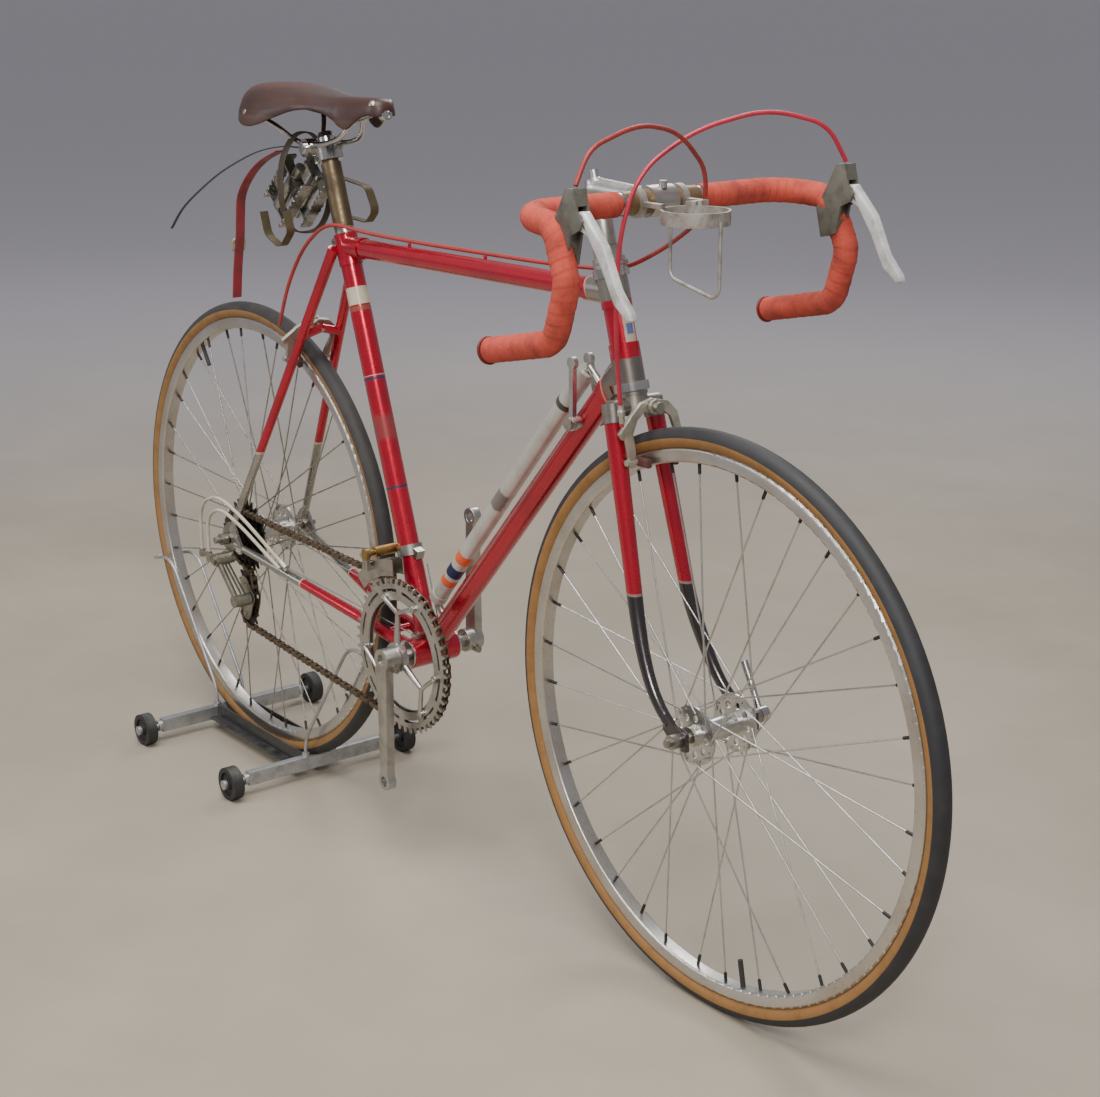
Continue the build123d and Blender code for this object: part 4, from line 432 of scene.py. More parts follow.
FINISHES = {
    "frame_red": Finish("frame_red", RED, RED_STAIN, 0.6, 0.24, 16.0, 0.4, 0.05, coat=0.8, dust=0.01,
                        zones=TUBE_ZONES),
    "head_red": Finish("head_red", RED, RED_STAIN, 0.6, 0.24, 20.0, 0.4, 0.05, coat=0.8, zones=(
        Zone((Region(Measure.ALONG, HEAD_POINT, UP_HEAD, 4, 36, 1.2),
              Region(Measure.EITHER_WAY, NOWHERE, LEFT, 0, 7.5, 1.2),
              Region(Measure.ALONG, HEAD_POINT, FORWARD, 2, 40, 0.5)), (0.48, 0.43, 0.32), 0, 0.45, 0.9),
        Zone((Region(Measure.ALONG, HEAD_POINT, UP_HEAD, 13, 25, 1.0),
              Region(Measure.EITHER_WAY, NOWHERE, LEFT, 0, 4.5, 1.0),
              Region(Measure.ALONG, HEAD_POINT, FORWARD, 2, 40, 0.5)), (0.03, 0.09, 0.30), 0, 0.4, 0.9),
    )),
    "lug_chrome": Finish("lug_chrome", RED, RED_STAIN, 0.6, 0.24, 20.0, 0.4, 0.06, coat=0.8, dust=0.01,
        zones=(
        Zone((Region(Measure.AROUND, HEAD_POINT, UP_HEAD, 0, 35, 2.5),
              Region(Measure.ALONG, HEAD_POINT, UP_HEAD, 53, 200, 2.5)), (0.36, 0.33, 0.29), 0.95, 0.3),
        Zone((Region(Measure.AROUND, HEAD_POINT, UP_HEAD, 0, 33, 4.0),
              Region(Measure.ALONG, HEAD_POINT, UP_HEAD, -200, -13, 3.0)), (0.26, 0.23, 0.20), 0.95, 0.32),
        Zone((Region(Measure.AROUND, HEAD_POINT, UP_HEAD, 35.5, 38, 0.5),), CREAM, 0, 0.45, 0.5),
        Zone((Region(Measure.ALONG, BRACKET, UP_SEAT, 508, 513.5, 0.5),), CREAM, 0, 0.45, 0.75),
    )),
    "stay_red": Finish("stay_red", RED, RED_STAIN, 0.6, 0.24, 20.0, 0.4, 0.05, coat=0.8, dust=0.01, zones=(
        Zone((Region(Measure.ALONG, (-317, 0, 0), FORWARD, -400, 0, 1.0),
              Region(Measure.ALONG, (0, 0, 483), UP, -500, 0, 1.0)), (0.42, 0.40, 0.36), 1.0, 0.26),
        Zone((Region(Measure.ALONG, (0, 0, 483), UP, 0, 3.5, 0.5),), CREAM, 0, 0.4, 0.7),
        Zone((Region(Measure.ALONG, (-317, 0, 0), FORWARD, 0, 3.0, 0.5),
              Region(Measure.ALONG, (0, 0, 350), UP, -500, 0, 1.0)), CREAM, 0, 0.4, 0.7),
    )),
    "fork_paint": Finish("fork_paint", RED, RED_STAIN, 0.6, 0.24, 22.0, 0.35, 0.05, coat=0.8, zones=(
        Zone((Region(Measure.ALONG, (0, 0, 478), UP, -500, 0, 1.2),), (0.085, 0.075, 0.075), 1.0, 0.26),
        Zone((Region(Measure.ALONG, (0, 0, 478), UP, 0, 3.0, 0.5),), (0.35, 0.33, 0.3), 0.6, 0.35, 0.8),
    )),
    "chrome": Finish("chrome", (0.62, 0.61, 0.59), GRIME, 1.0, 0.17, 30.0, 0.3, 0.08, dust=0.08),
    "alloy": Finish("alloy", (0.58, 0.57, 0.54), GRIME, 1.0, 0.34, 40.0, 0.34, 0.12, dust=0.1),
    "hub_alloy": Finish("hub_alloy", (0.62, 0.61, 0.58), (0.22, 0.19, 0.15), 1.0, 0.28, 46.0, 0.26, 0.08),
    "cream_alloy": Finish("cream_alloy", (0.55, 0.52, 0.44), (0.15, 0.12, 0.07), 0.8, 0.4, 50.0, 0.4, 0.15,
                          dust=0.12),
    "front_caliper": Finish("front_caliper", (0.55, 0.52, 0.44), (0.15, 0.12, 0.07), 0.8, 0.38, 50.0, 0.4,
                            0.15,
                            zones=(Zone((Region(Measure.ALONG, (371, 0, 684), UP, -67, -54, 0.3),
                                         Region(Measure.EITHER_WAY, NOWHERE, LEFT, 0, 21.4, 0.2)),
                                        (0.10, 0.035, 0.028), 0, 0.75),)),
    "rear_caliper": Finish("rear_caliper", (0.52, 0.49, 0.42), (0.12, 0.09, 0.06), 0.8, 0.42, 50.0, 0.45,
                           0.15,
                           zones=(Zone((Region(Measure.ALONG, (-319.5, 0, 674.8), (0.475, 0, 0.88), -67, -54,
                                               0.3),
                                        Region(Measure.EITHER_WAY, NOWHERE, LEFT, 0, 21.4, 0.2)),
                                       (0.085, 0.03, 0.025), 0, 0.75),)),
    "lever_body": Finish("lever_body", (0.17, 0.165, 0.135), (0.05, 0.045, 0.036), 0.6, 0.5, 60.0, 0.5, 0.2,
                         dust=0.15),
    "lever_blade": Finish("lever_blade", (0.80, 0.80, 0.78), (0.26, 0.24, 0.20), 0.4, 0.3, 60.0, 0.55, 0.15),
    "rim_alloy": Finish("rim_alloy", (0.60, 0.58, 0.54), (0.26, 0.17, 0.08), 0.95, 0.3, 12.0, 0.34, 0.08,
                        dust=0.1),
    "spoke_front": Finish("spoke_front", (0.60, 0.58, 0.55), GRIME, 1.0, 0.3, 60.0, 0.3, 0.05, zones=(
        Zone((Region(Measure.AROUND, FRONT_AXLE, LEFT, 287.2, 400, 0.3),), (0.022, 0.02, 0.02), 0.3, 0.45),)),
    "spoke_rear": Finish("spoke_rear", (0.45, 0.42, 0.38), GRIME, 1.0, 0.38, 60.0, 0.45, 0.05, zones=(
        Zone((Region(Measure.AROUND, REAR_AXLE, LEFT, 287.2, 400, 0.3),), (0.05, 0.042, 0.035), 0.4, 0.5),)),
    "steel": Finish("steel", (0.40, 0.38, 0.34), GRIME, 1.0, 0.34, 50.0, 0.45, 0.12, dust=0.1),
    "ring_steel": Finish("ring_steel", (0.52, 0.51, 0.48), (0.13, 0.10, 0.07), 1.0, 0.3, 36.0, 0.36, 0.1,
                         dust=0.12),
    "freewheel_black": Finish("freewheel_black", (0.06, 0.052, 0.045), (0.02, 0.016, 0.012), 0.9, 0.45, 60.0,
                              0.5, 0.15),
    "chain_steel": Finish("chain_steel", (0.20, 0.15, 0.10), (0.05, 0.035, 0.025), 0.95, 0.4, 90.0, 0.6,
        0.15),
    "rear_mech": Finish("rear_mech", (0.36, 0.34, 0.28), (0.07, 0.055, 0.035), 0.9, 0.36, 60.0, 0.55, 0.15),
    "fittings": Finish("fittings", (0.50, 0.48, 0.43), GRIME, 1.0, 0.3, 50.0, 0.4, 0.12, dust=0.1, zones=(
        Zone((Region(Measure.AROUND, (-128, 0, 404), LEFT, 0, 9, 0.3),
              Region(Measure.ALONG, NOWHERE, LEFT, -70, -7, 0.2)), (0.40, 0.27, 0.09), 1.0, 0.36),
        Zone((Region(Measure.ALONG, (0, 0, 790), UP, 0, 40, 0.2),
              Region(Measure.ALONG, (-120, 0, 0), FORWARD, 0, 400, 0.2)), RED, 0.35, 0.25),
    )),
    "post_brass": Finish("post_brass", (0.20, 0.145, 0.085), (0.055, 0.04, 0.028), 0.85, 0.4, 30.0, 0.66,
                         0.12,
                         zones=(Zone((Region(Measure.ALONG, BRACKET, UP_SEAT, 664, 760, 0.4),),
                                     (0.60, 0.59, 0.56), 1.0, 0.2),
                                Zone((Region(Measure.ALONG, BRACKET, UP_SEAT, 558, 567, 0.4),),
                                     (0.55, 0.54, 0.5), 1.0, 0.25))),
    "front_tread": Finish("front_tread", (0.018, 0.018, 0.020), (0.042, 0.040, 0.040), 0.0, 0.6, 40.0, 0.4,
                          0.2,
                          zones=(Zone((Region(Measure.AROUND, FRONT_AXLE, LEFT, 300, 327.0, 0.5),),
                                      (0.29, 0.14, 0.04), 0, 0.6),)),
    "rear_tread": Finish("rear_tread", (0.024, 0.023, 0.023), (0.055, 0.05, 0.045), 0.0, 0.65, 40.0, 0.5, 0.2,
                         zones=(Zone((Region(Measure.AROUND, REAR_AXLE, LEFT, 300, 327.0, 0.5),),
                                     (0.27, 0.14, 0.045), 0, 0.62),)),
    "bar_tape": Finish("bar_tape", (0.58, 0.075, 0.045), (0.20, 0.035, 0.025), 0.0, 0.86, 34.0, 0.6, 0.6,
                       0.0004,
                       threads=5200.0),
    "bar_plug": Finish("bar_plug", (0.17, 0.012, 0.012), (0.06, 0.008, 0.008), 0.0, 0.45, 50.0, 0.4, 0.15),
    "bar_silver": Finish("bar_silver", (0.62, 0.61, 0.58), GRIME, 1.0, 0.28, 40.0, 0.3, 0.08, zones=(
        Zone((Region(Measure.EITHER_WAY, NOWHERE, LEFT, 17, 52.2, 0.3),), (0.22, 0.14, 0.075), 0.6, 0.42),)),
    "saddle_leather": Finish("saddle_leather", (0.046, 0.014, 0.008), (0.014, 0.006, 0.005), 0.0, 0.42,
                             14.0, 0.6,
                             0.25, 0.0003, coat=0.05, pores=420.0, zones=(
                                 Zone((Region(Measure.AROUND, (-372, 0, 1002), (0, 0, 1), 0, 46, 30.0),),
                                      (0.085, 0.022, 0.013), 0, 0.36, 0.7),
                                 Zone((Region(Measure.ALONG, (0, 0, 957), UP, -20, 0, 5.0),),
                                      (0.09, 0.045, 0.028), 0, 0.6, 0.5))),
    "rivet_copper": Finish("rivet_copper", (0.42, 0.33, 0.27), (0.12, 0.08, 0.06), 1.0, 0.32, 90.0, 0.4, 0.1),
    "strap_leather": Finish("strap_leather", (0.30, 0.018, 0.034), (0.10, 0.03, 0.022), 0.0, 0.5, 34.0,
                            0.62, 0.35,
                            pores=600.0),
    "strap_brown": Finish("strap_brown", (0.055, 0.042, 0.025), (0.022, 0.016, 0.011), 0.0, 0.55, 26.0, 0.5,
                          0.35,
                          pores=600.0),
    "buckle_cream": Finish("buckle_cream", (0.55, 0.48, 0.34), GRIME, 0.7, 0.38, 60.0, 0.5, 0.1),
    "tie_black": Finish("tie_black", (0.012, 0.012, 0.013), (0.03, 0.03, 0.03), 0.0, 0.38, 60.0, 0.4, 0.05),
    "housing": Finish("housing", (0.46, 0.02, 0.045), (0.18, 0.01, 0.02), 0.0, 0.36, 40.0, 0.4, 0.05,
        coat=0.2),
    "frame_housing": Finish("frame_housing", (0.33, 0.03, 0.025), (0.11, 0.02, 0.015), 0.0, 0.42, 40.0, 0.45,
                            0.05, zones=(
                                Zone((Region(Measure.ALONG, (0, 0, 450), UP, -400, 0, 0.5),
                                      Region(Measure.ALONG, (-345, 0, 0), FORWARD, -400, 0, 0.5)),
                                     (0.50, 0.46, 0.36), 0, 0.45),
                                Zone((Region(Measure.ALONG, (0, 0, 655), UP, -400, 0, 0.5),
                                      Region(Measure.ALONG, (-344.5, 0, 0), FORWARD, 0, 700, 0.5)),
                                     (0.42, 0.40, 0.37), 1.0, 0.35))),
    "pump_body": Finish("pump_body", (0.60, 0.59, 0.55), (0.25, 0.19, 0.12), 0.45, 0.36, 26.0, 0.3, 0.08,
        zones=(
        Zone((Region(Measure.ALONG, (-45, 0, 353), (0.6562, 0, 0.7546), 39, 51, 0.8),), ORANGE, 0, 0.4),
        Zone((Region(Measure.ALONG, (-45, 0, 353), (0.6562, 0, 0.7546), 58, 76, 0.8),), NAVY, 0, 0.4),
        Zone((Region(Measure.ALONG, (-45, 0, 353), (0.6562, 0, 0.7546), 88, 104, 0.8),), ORANGE, 0, 0.4),
        Zone((Region(Measure.ALONG, (-45, 0, 353), (0.6562, 0, 0.7546), 206, 236, 8.0),
              Region(Measure.ALONG, (0, 0, 0), LEFT, -30, -3, 6.0)), (0.07, 0.03, 0.02), 0, 0.6, 0.75),
        Zone((Region(Measure.ALONG, (-45, 0, 353), (0.6562, 0, 0.7546), 404, 412, 0.5),), (0.08, 0.07, 0.06),
             0.2, 0.5),
    )),
    "pedal_steel": Finish("pedal_steel", (0.46, 0.45, 0.41), (0.06, 0.048, 0.035), 1.0, 0.24, 60.0, 0.55,
        0.1, zones=(
        Zone((Region(Measure.ALONG, NOWHERE, LEFT, -60, -38.6, 0.2),), (0.14, 0.11, 0.06), 0.7, 0.5),
        Zone((Region(Measure.ALONG, (-299.5, 0, 0), FORWARD, 0, 200, 0.2),
              Region(Measure.ALONG, NOWHERE, LEFT, 16.5, 30, 0.2)), (0.14, 0.11, 0.06), 0.7, 0.5))),
    "stand_steel": Finish("stand_steel", (0.50, 0.51, 0.52), (0.24, 0.24, 0.24), 0.9, 0.42, 60.0, 0.5, 0.1),
    "stand_black": Finish("stand_black", (0.012, 0.012, 0.014), (0.035, 0.034, 0.034), 0.0, 0.25, 40.0, 0.35,
                          0.05, coat=0.4, dust=0.1),
    "stand_wheel": Finish("stand_wheel", (0.016, 0.016, 0.017), (0.05, 0.048, 0.045), 0.0, 0.6, 60.0, 0.45,
                          0.15,
                          dust=0.1),
    "cage_steel": Finish("cage_steel", (0.48, 0.46, 0.42), (0.16, 0.11, 0.07), 0.8, 0.48, 70.0, 0.6, 0.25,
                         dust=0.15),
}

NODE_FINISHES = {
    "top_tube": "frame_red", "seat_tube": "frame_red", "down_tube": "frame_red", "head_tube": "head_red",
    "lugs": "lug_chrome", "rear_stays": "stay_red", "bearing_cups": "chrome", "frame_fittings": "fittings",
    "rear_axle": "steel", "front_axle": "steel", "pump": "pump_body", "frame_cables": "frame_housing",
    "rear_mech_body": "rear_mech", "seatpost": "post_brass", "saddle_frame": "chrome",
    "spare_pedals": "pedal_steel", "fork_crown": "steel", "fork_blades": "fork_paint", "stem": "alloy",
    "handlebar": "bar_silver", "brake_lever_bodies": "lever_body", "bottle_cage": "cage_steel",
    "bar_cables": "housing", "front_rim": "rim_alloy", "rear_rim": "rim_alloy", "front_tyre": "front_tread",
    "rear_tyre": "rear_tread", "front_spokes": "spoke_front", "rear_spokes": "spoke_rear",
    "front_hub": "hub_alloy", "rear_hub": "hub_alloy", "right_crank": "ring_steel",
    "left_crank": "ring_steel",
    "crank_spindle": "steel", "chainrings": "ring_steel", "freewheel": "freewheel_black",
    "rear_mech_cage": "rear_mech", "guide_pulley": "freewheel_black", "tension_pulley": "freewheel_black",
    "front_mech_cage": "fittings", "right_brake_lever": "lever_blade", "left_brake_lever": "lever_blade",
    "front_brake_right_arm": "front_caliper", "front_brake_left_arm": "front_caliper",
    "rear_brake_right_arm": "rear_caliper", "rear_brake_left_arm": "rear_caliper",
    "right_shift_lever": "alloy", "left_shift_lever": "alloy", "front_quick_release_lever": "chrome",
    "stand_frame": "stand_steel", "stand_rails": "stand_black", "stand_hoops": "stand_steel",
    "stand_front_right_wheel": "stand_wheel", "stand_front_left_wheel": "stand_wheel",
    "stand_rear_right_wheel": "stand_wheel", "stand_rear_left_wheel": "stand_wheel",
}
ROUNDED_NODES = {
    "right_crank": 1.2, "left_crank": 1.2, "brake_lever_bodies": 2.0, "right_brake_lever": 2.4,
    "left_brake_lever": 2.4, "front_brake_right_arm": 1.2, "front_brake_left_arm": 1.2,
    "rear_brake_right_arm": 1.2, "rear_brake_left_arm": 1.2, "stand_frame": 0.8, "stand_rails": 0.6,
    "right_shift_lever": 1.2, "left_shift_lever": 1.2,
}


# ---------------------------------------------------------------- modelling bench
class Bench:
    """Starts, shapes and finishes meshes, in millimetres."""

    @staticmethod
    def clear() -> None:
        """Leave edit mode and select nothing."""
        if bpy.context.object is not None and bpy.context.object.mode != "OBJECT":
            bpy.ops.object.mode_set(mode="OBJECT")
        bpy.ops.object.select_all(action="DESELECT")

    @staticmethod
    def only(piece: bpy.types.Object) -> None:
        """Select one piece alone and make it active."""
        Bench.clear()
        piece.select_set(True)
        bpy.context.view_layer.objects.active = piece

    @staticmethod
    def grid(name: str, rows: list[list[Vector]], closed: bool = False) -> bpy.types.Object:
        """A skin over rows of points.

        Args:
            name: the piece's name.
            rows: the points, in millimetres, the same number in each row.
            closed: whether each row is a ring.

        Returns:
            The new piece.
        """
        width = len(rows[0])
        mesh = bpy.data.meshes.new(name)
        span = width if closed else width - 1
        faces = [
            (r * width + c, r * width + (c + 1) % width, (r + 1) * width + (c + 1) % width,
             (r + 1) * width + c)
            for r in range(len(rows) - 1) for c in range(span)
        ]
        mesh.from_pydata([tuple(p * MM) for row in rows for p in row], [], faces)
        piece = bpy.data.objects.new(name, mesh)
        bpy.context.scene.collection.objects.link(piece)
        return piece

    @staticmethod
    def modify(piece: bpy.types.Object, kind: str, **settings) -> None:
        """Add a modifier and apply it."""
        Bench.only(piece)
        modifier = piece.modifiers.new(kind.lower(), kind)
        for name, value in settings.items():
            setattr(modifier, name, value)
        bpy.ops.object.modifier_apply(modifier=modifier.name)

    @staticmethod
    def outward(piece: bpy.types.Object) -> None:
        """Merge doubles and turn every face outwards."""
        Bench.only(piece)
        bpy.ops.object.mode_set(mode="EDIT")
        bpy.ops.mesh.select_all(action="SELECT")
        bpy.ops.mesh.remove_doubles(threshold=0.00001)
        bpy.ops.mesh.normals_make_consistent(inside=False)
        bpy.ops.object.mode_set(mode="OBJECT")

    @staticmethod
    def smooth(piece: bpy.types.Object, degrees: float = 35.0) -> None:
        """Shade smooth up to an angle."""
        Bench.only(piece)
        bpy.ops.object.shade_smooth_by_angle(angle=math.radians(degrees))

    @staticmethod
    def join(name: str, pieces: list[bpy.types.Object]) -> bpy.types.Object:
        """Join pieces into one."""
        Bench.clear()
        for piece in pieces:
            piece.select_set(True)
        bpy.context.view_layer.objects.active = pieces[0]
        bpy.ops.object.join()
        pieces[0].name = name
        pieces[0].data.name = name
        return pieces[0]

    @staticmethod
    def settle(piece: bpy.types.Object) -> None:
        """Put the piece's place into its mesh."""
        Bench.only(piece)
        bpy.ops.object.transform_apply(location=True, rotation=True, scale=True)

    @staticmethod
    def turned(name: str, outline: list[tuple[float, float]], start: Point, toward: Point,
               segments: int = 32) -> bpy.types.Object:
        """A turned piece: an outline of (along, radius) spun about its axis.

        Args:
            name: the piece's name.
            outline: distances along the axis and radii, from one end to the other.
            start: where the axis starts.
            toward: the axis's direction.
            segments: how many faces go round.

        Returns:
            The closed piece.
        """
        axis = Vector(toward).normalized()
        side = axis.orthogonal().normalized()
        other = axis.cross(side)
        rows = []
        for along, radius in outline:
            middle = Vector(start) + axis * along
            rows.append([
                middle + (side * math.cos(a) + other * math.sin(a)) * max(radius, 0.01)
                for a in (2 * math.pi * i / segments for i in range(segments))
            ])
        piece = Bench.grid(name, rows, closed=True)
        Bench.only(piece)
        bpy.ops.object.mode_set(mode="EDIT")
        bpy.ops.mesh.select_all(action="SELECT")
        bpy.ops.mesh.remove_doubles(threshold=0.00002)
        bpy.ops.mesh.select_all(action="DESELECT")
        bpy.ops.mesh.select_non_manifold()
        bpy.ops.mesh.edge_face_add()
        bpy.ops.object.mode_set(mode="OBJECT")
        Bench.outward(piece)
        return piece


def smooth_path(points: list[Point], step: float) -> list[Vector]:
    """Points about a step apart on a smooth line through the given ones.

    Args:
        points: the points to pass, in millimetres.
        step: the wanted spacing.

    Returns:
        The points of the line.
    """
    given = [Vector(p) for p in points]
    given = [given[0] * 2 - given[1]] + given + [given[-1] * 2 - given[-2]]
    line = []
    for a, b, c, d in zip(given, given[1:], given[2:], given[3:]):
        count = max(2, round((c - b).length / step))
        for i in range(count):
            t = i / count
            line.append(0.5 * (2 * b + (c - a) * t + (2 * a - 5 * b + 4 * c - d) * t * t
                               + (3 * b - a - 3 * c + d) * t * t * t))
    line.append(given[-2])
    return line


def rounded_path(points: list[Point], radii: list[float], step: float) -> list[Vector]:
    """Points along straight runs joined by arcs of a tube bent on a former.

    Args:
        points: the corners.
        radii: the bend radius at each inner corner.
        step: the wanted spacing.

    Returns:
        The points, evenly spaced.
    """
    corners = [Vector(p) for p in points]
    rough = [corners[0]]
    for before, corner, after, radius in zip(corners, corners[1:], corners[2:], radii):
        inward, outward = (before - corner).normalized(), (after - corner).normalized()
        half = inward.angle(outward) / 2
        cut = radius / math.tan(half)
        centre = corner + (inward + outward).normalized() * (radius / math.sin(half))
        start = (corner + inward * cut - centre).normalized()
        end = (corner + outward * cut - centre).normalized()
        for i in range(17):
            rough.append(centre + start.slerp(end, i / 16) * radius)
    rough.append(corners[-1])
    even, carried = [rough[0]], 0.0
    for a, b in zip(rough, rough[1:]):
        length = (b - a).length
        while carried + length >= step and length > 1e-6:
            a = a + (b - a) * ((step - carried) / length)
            length = (b - a).length
            even.append(a.copy())
            carried = 0.0
        carried += length
    return even


def frames_along(line: list[Vector], start_side: Vector) -> list[tuple[Vector, Vector, Vector]]:
    """For each point of a line: the point, and two directions square to the line that don't twist."""
    side = start_side
    frames = []
    for i, point in enumerate(line):
        ahead = (line[min(i + 1, len(line) - 1)] - line[max(i - 1, 0)]).normalized()
        side = (side - ahead * side.dot(ahead)).normalized()
        frames.append((point, side, ahead.cross(side)))
    return frames


class Workshop:
    """Gives finished pieces their material and body, and reports them."""

    def __init__(self, palette: Palette) -> None:
        """Work from a palette."""
        self.palette = palette

    def hand_over(self, piece: bpy.types.Object, finish: str, body: str, slot: str,
                  replaced: Iterable[str] = ()) -> None:
        """Finish a piece.

        Args:
            piece: the mesh, with its place in it.
            finish: the name of its finish.
            body: the body that it rides on.
            slot: the record's material slot; not used.
            replaced: the nodes that it stands for.
        """
        piece.data.materials.clear()
        piece.data.materials.append(self.palette.material(FINISHES[finish]))
        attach(piece, body)
        if replaced:
            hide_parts(*replaced)
        LOG.info("piece %s on %s: %d faces", piece.name, body, len(piece.data.polygons))


# ---------------------------------------------------------------- sub-assemblies
@dataclass
class CarriedNodes:
    """The sub-parts that keep their own shape and get their finish."""

    workshop: Workshop
    finishes: dict[str, str] = field(default_factory=lambda: NODE_FINISHES)
    rounded: dict[str, float] = field(default_factory=lambda: ROUNDED_NODES)

    def dress(self) -> None:
        """Give every carried node its finish and smooth shading, and soften the edges of some."""
        for name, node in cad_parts.items():
            finish = self.finishes.get(name)
            if finish is None:
                continue
            node.data.materials.clear()
            node.data.materials.append(self.workshop.palette.material(FINISHES[finish]))
            node.data.polygons.foreach_set("use_smooth", [True] * len(node.data.polygons))
            weld = node.modifiers.new("weld", "WELD")
            weld.merge_threshold = 0.00001
            if name in self.rounded:
                soften = node.modifiers.new("soften", "BEVEL")
                soften.width = self.rounded[name] * MM
                soften.segments = 3
                soften.limit_method = "ANGLE"
                soften.angle_limit = math.radians(40)
            split = node.modifiers.new("split", "EDGE_SPLIT")
            split.split_angle = math.radians(32)
            LOG.info("node %s: %s", name, finish)


@dataclass
class LeatherSaddle:
    """The tensioned leather top with its rolled cantle, nose and rivets."""

    workshop: Workshop
    sections: tuple[tuple[float, float, float, float], ...] = (
        (-433, 10, 972, 964), (-430, 24, 982, 962), (-424, 38, 989, 958), (-412, 51, 993, 953),
        (-395, 64, 994, 948), (-375, 72, 994.5, 944), (-352, 74.5, 993.5, 942), (-330, 70, 991.5, 946),
        (-308, 60, 989, 955), (-285, 47.5, 987, 964), (-262, 39, 985, 967), (-238, 31, 984, 964),
        (-215, 27, 984.5, 954), (-195, 25, 985, 945), (-180, 23, 985.5, 953), (-165, 21, 986, 963),
        (-152, 19, 985.5, 965), (-144, 15.5, 983, 964), (-139, 10, 977, 964), (-137.5, 5, 972, 966),
    )
    thickness: float = 4.0
    columns: int = 40

    def point(self, x: float, half: float, top: float, skirt: float, t: float) -> Vector:
        """A point of the shell's outside at t from -1 to 1 round the section."""
        angle = t * math.pi / 2
        drop = top - skirt
        y = half * math.copysign(abs(math.sin(angle)) ** 0.78, t) if t else 0.0
        lift = math.cos(angle) ** 0.62 if abs(t) < 1 else 0.0
        flare = 1.0 + 0.05 * max(0.0, abs(t) - 0.8) / 0.2
        return Vector((x, y * flare, skirt + drop * lift))

    def rows(self) -> list[list[Vector]]:
        """The shell's rows of points, closely spaced from nose to cantle."""
        keys = [smooth_path([Vector(s[:3]) for s in self.sections], 4.0),
                smooth_path([Vector((s[0], s[1], s[3])) for s in self.sections], 4.0)]
        count = min(len(keys[0]), len(keys[1]))
        rows = []
        for i in range(count):
            upper = keys[0][round(i * (len(keys[0]) - 1) / (count - 1))]
            lower = keys[1][round(i * (len(keys[1]) - 1) / (count - 1))]
            rows.append([self.point(upper.x, upper.y, upper.z, lower.z, -1 + 2 * c / self.columns)
                         for c in range(self.columns + 1)])
        return rows

    def build(self) -> None:
        """Build the shell and its rivets."""
        shell = Bench.grid("leather_top", self.rows())
        Bench.outward(shell)
        middle = len(shell.data.polygons) // 2
        if shell.data.polygons[middle].normal.z < 0:
            shell.data.flip_normals()
        Bench.modify(shell, "SOLIDIFY", thickness=self.thickness * MM, offset=-1.0, use_even_offset=False)
        Bench.modify(shell, "BEVEL", width=1.1 * MM, segments=3, limit_method="ANGLE",
                     angle_limit=math.radians(50))
        Bench.smooth(shell, 45)
        self.workshop.hand_over(shell, "saddle_leather", "saddle", "saddle_leather", ("saddle_top",))
        self.rivets()

    def rivets(self) -> None:
        """Copper rivets round the cantle and at the nose."""
        made = []
        for x, t in ((-420, 0.62), (-420, -0.62), (-428, 0.3), (-428, -0.3), (-366, 0.9), (-366, -0.9),
                     (-150, 0.55), (-150, -0.55)):
            lower, upper = [(a, b) for a, b in zip(self.sections, self.sections[1:]) if a[0] <= x <= b[0]][0]
            share = (x - lower[0]) / (upper[0] - lower[0])
            section = [a + (b - a) * share for a, b in zip(lower, upper)]
            here = self.point(*section, t)
            beside = self.point(*section, t + 0.02) - here
            forward = self.point(*upper, t) - self.point(*lower, t)
            normal = beside.cross(forward).normalized()
            normal = normal if normal.z > 0 else -normal
            outline = [(-1.0, 4.6), (0.5, 4.6), (1.1, 4.0), (1.6, 2.6), (1.8, 0.0)]
            made.append(Bench.turned("rivet", outline, tuple(here), tuple(normal), 20))
        rivets = Bench.join("saddle_rivets", made)
        Bench.smooth(rivets, 40)
        self.workshop.hand_over(rivets, "rivet_copper", "saddle", "post_brass")


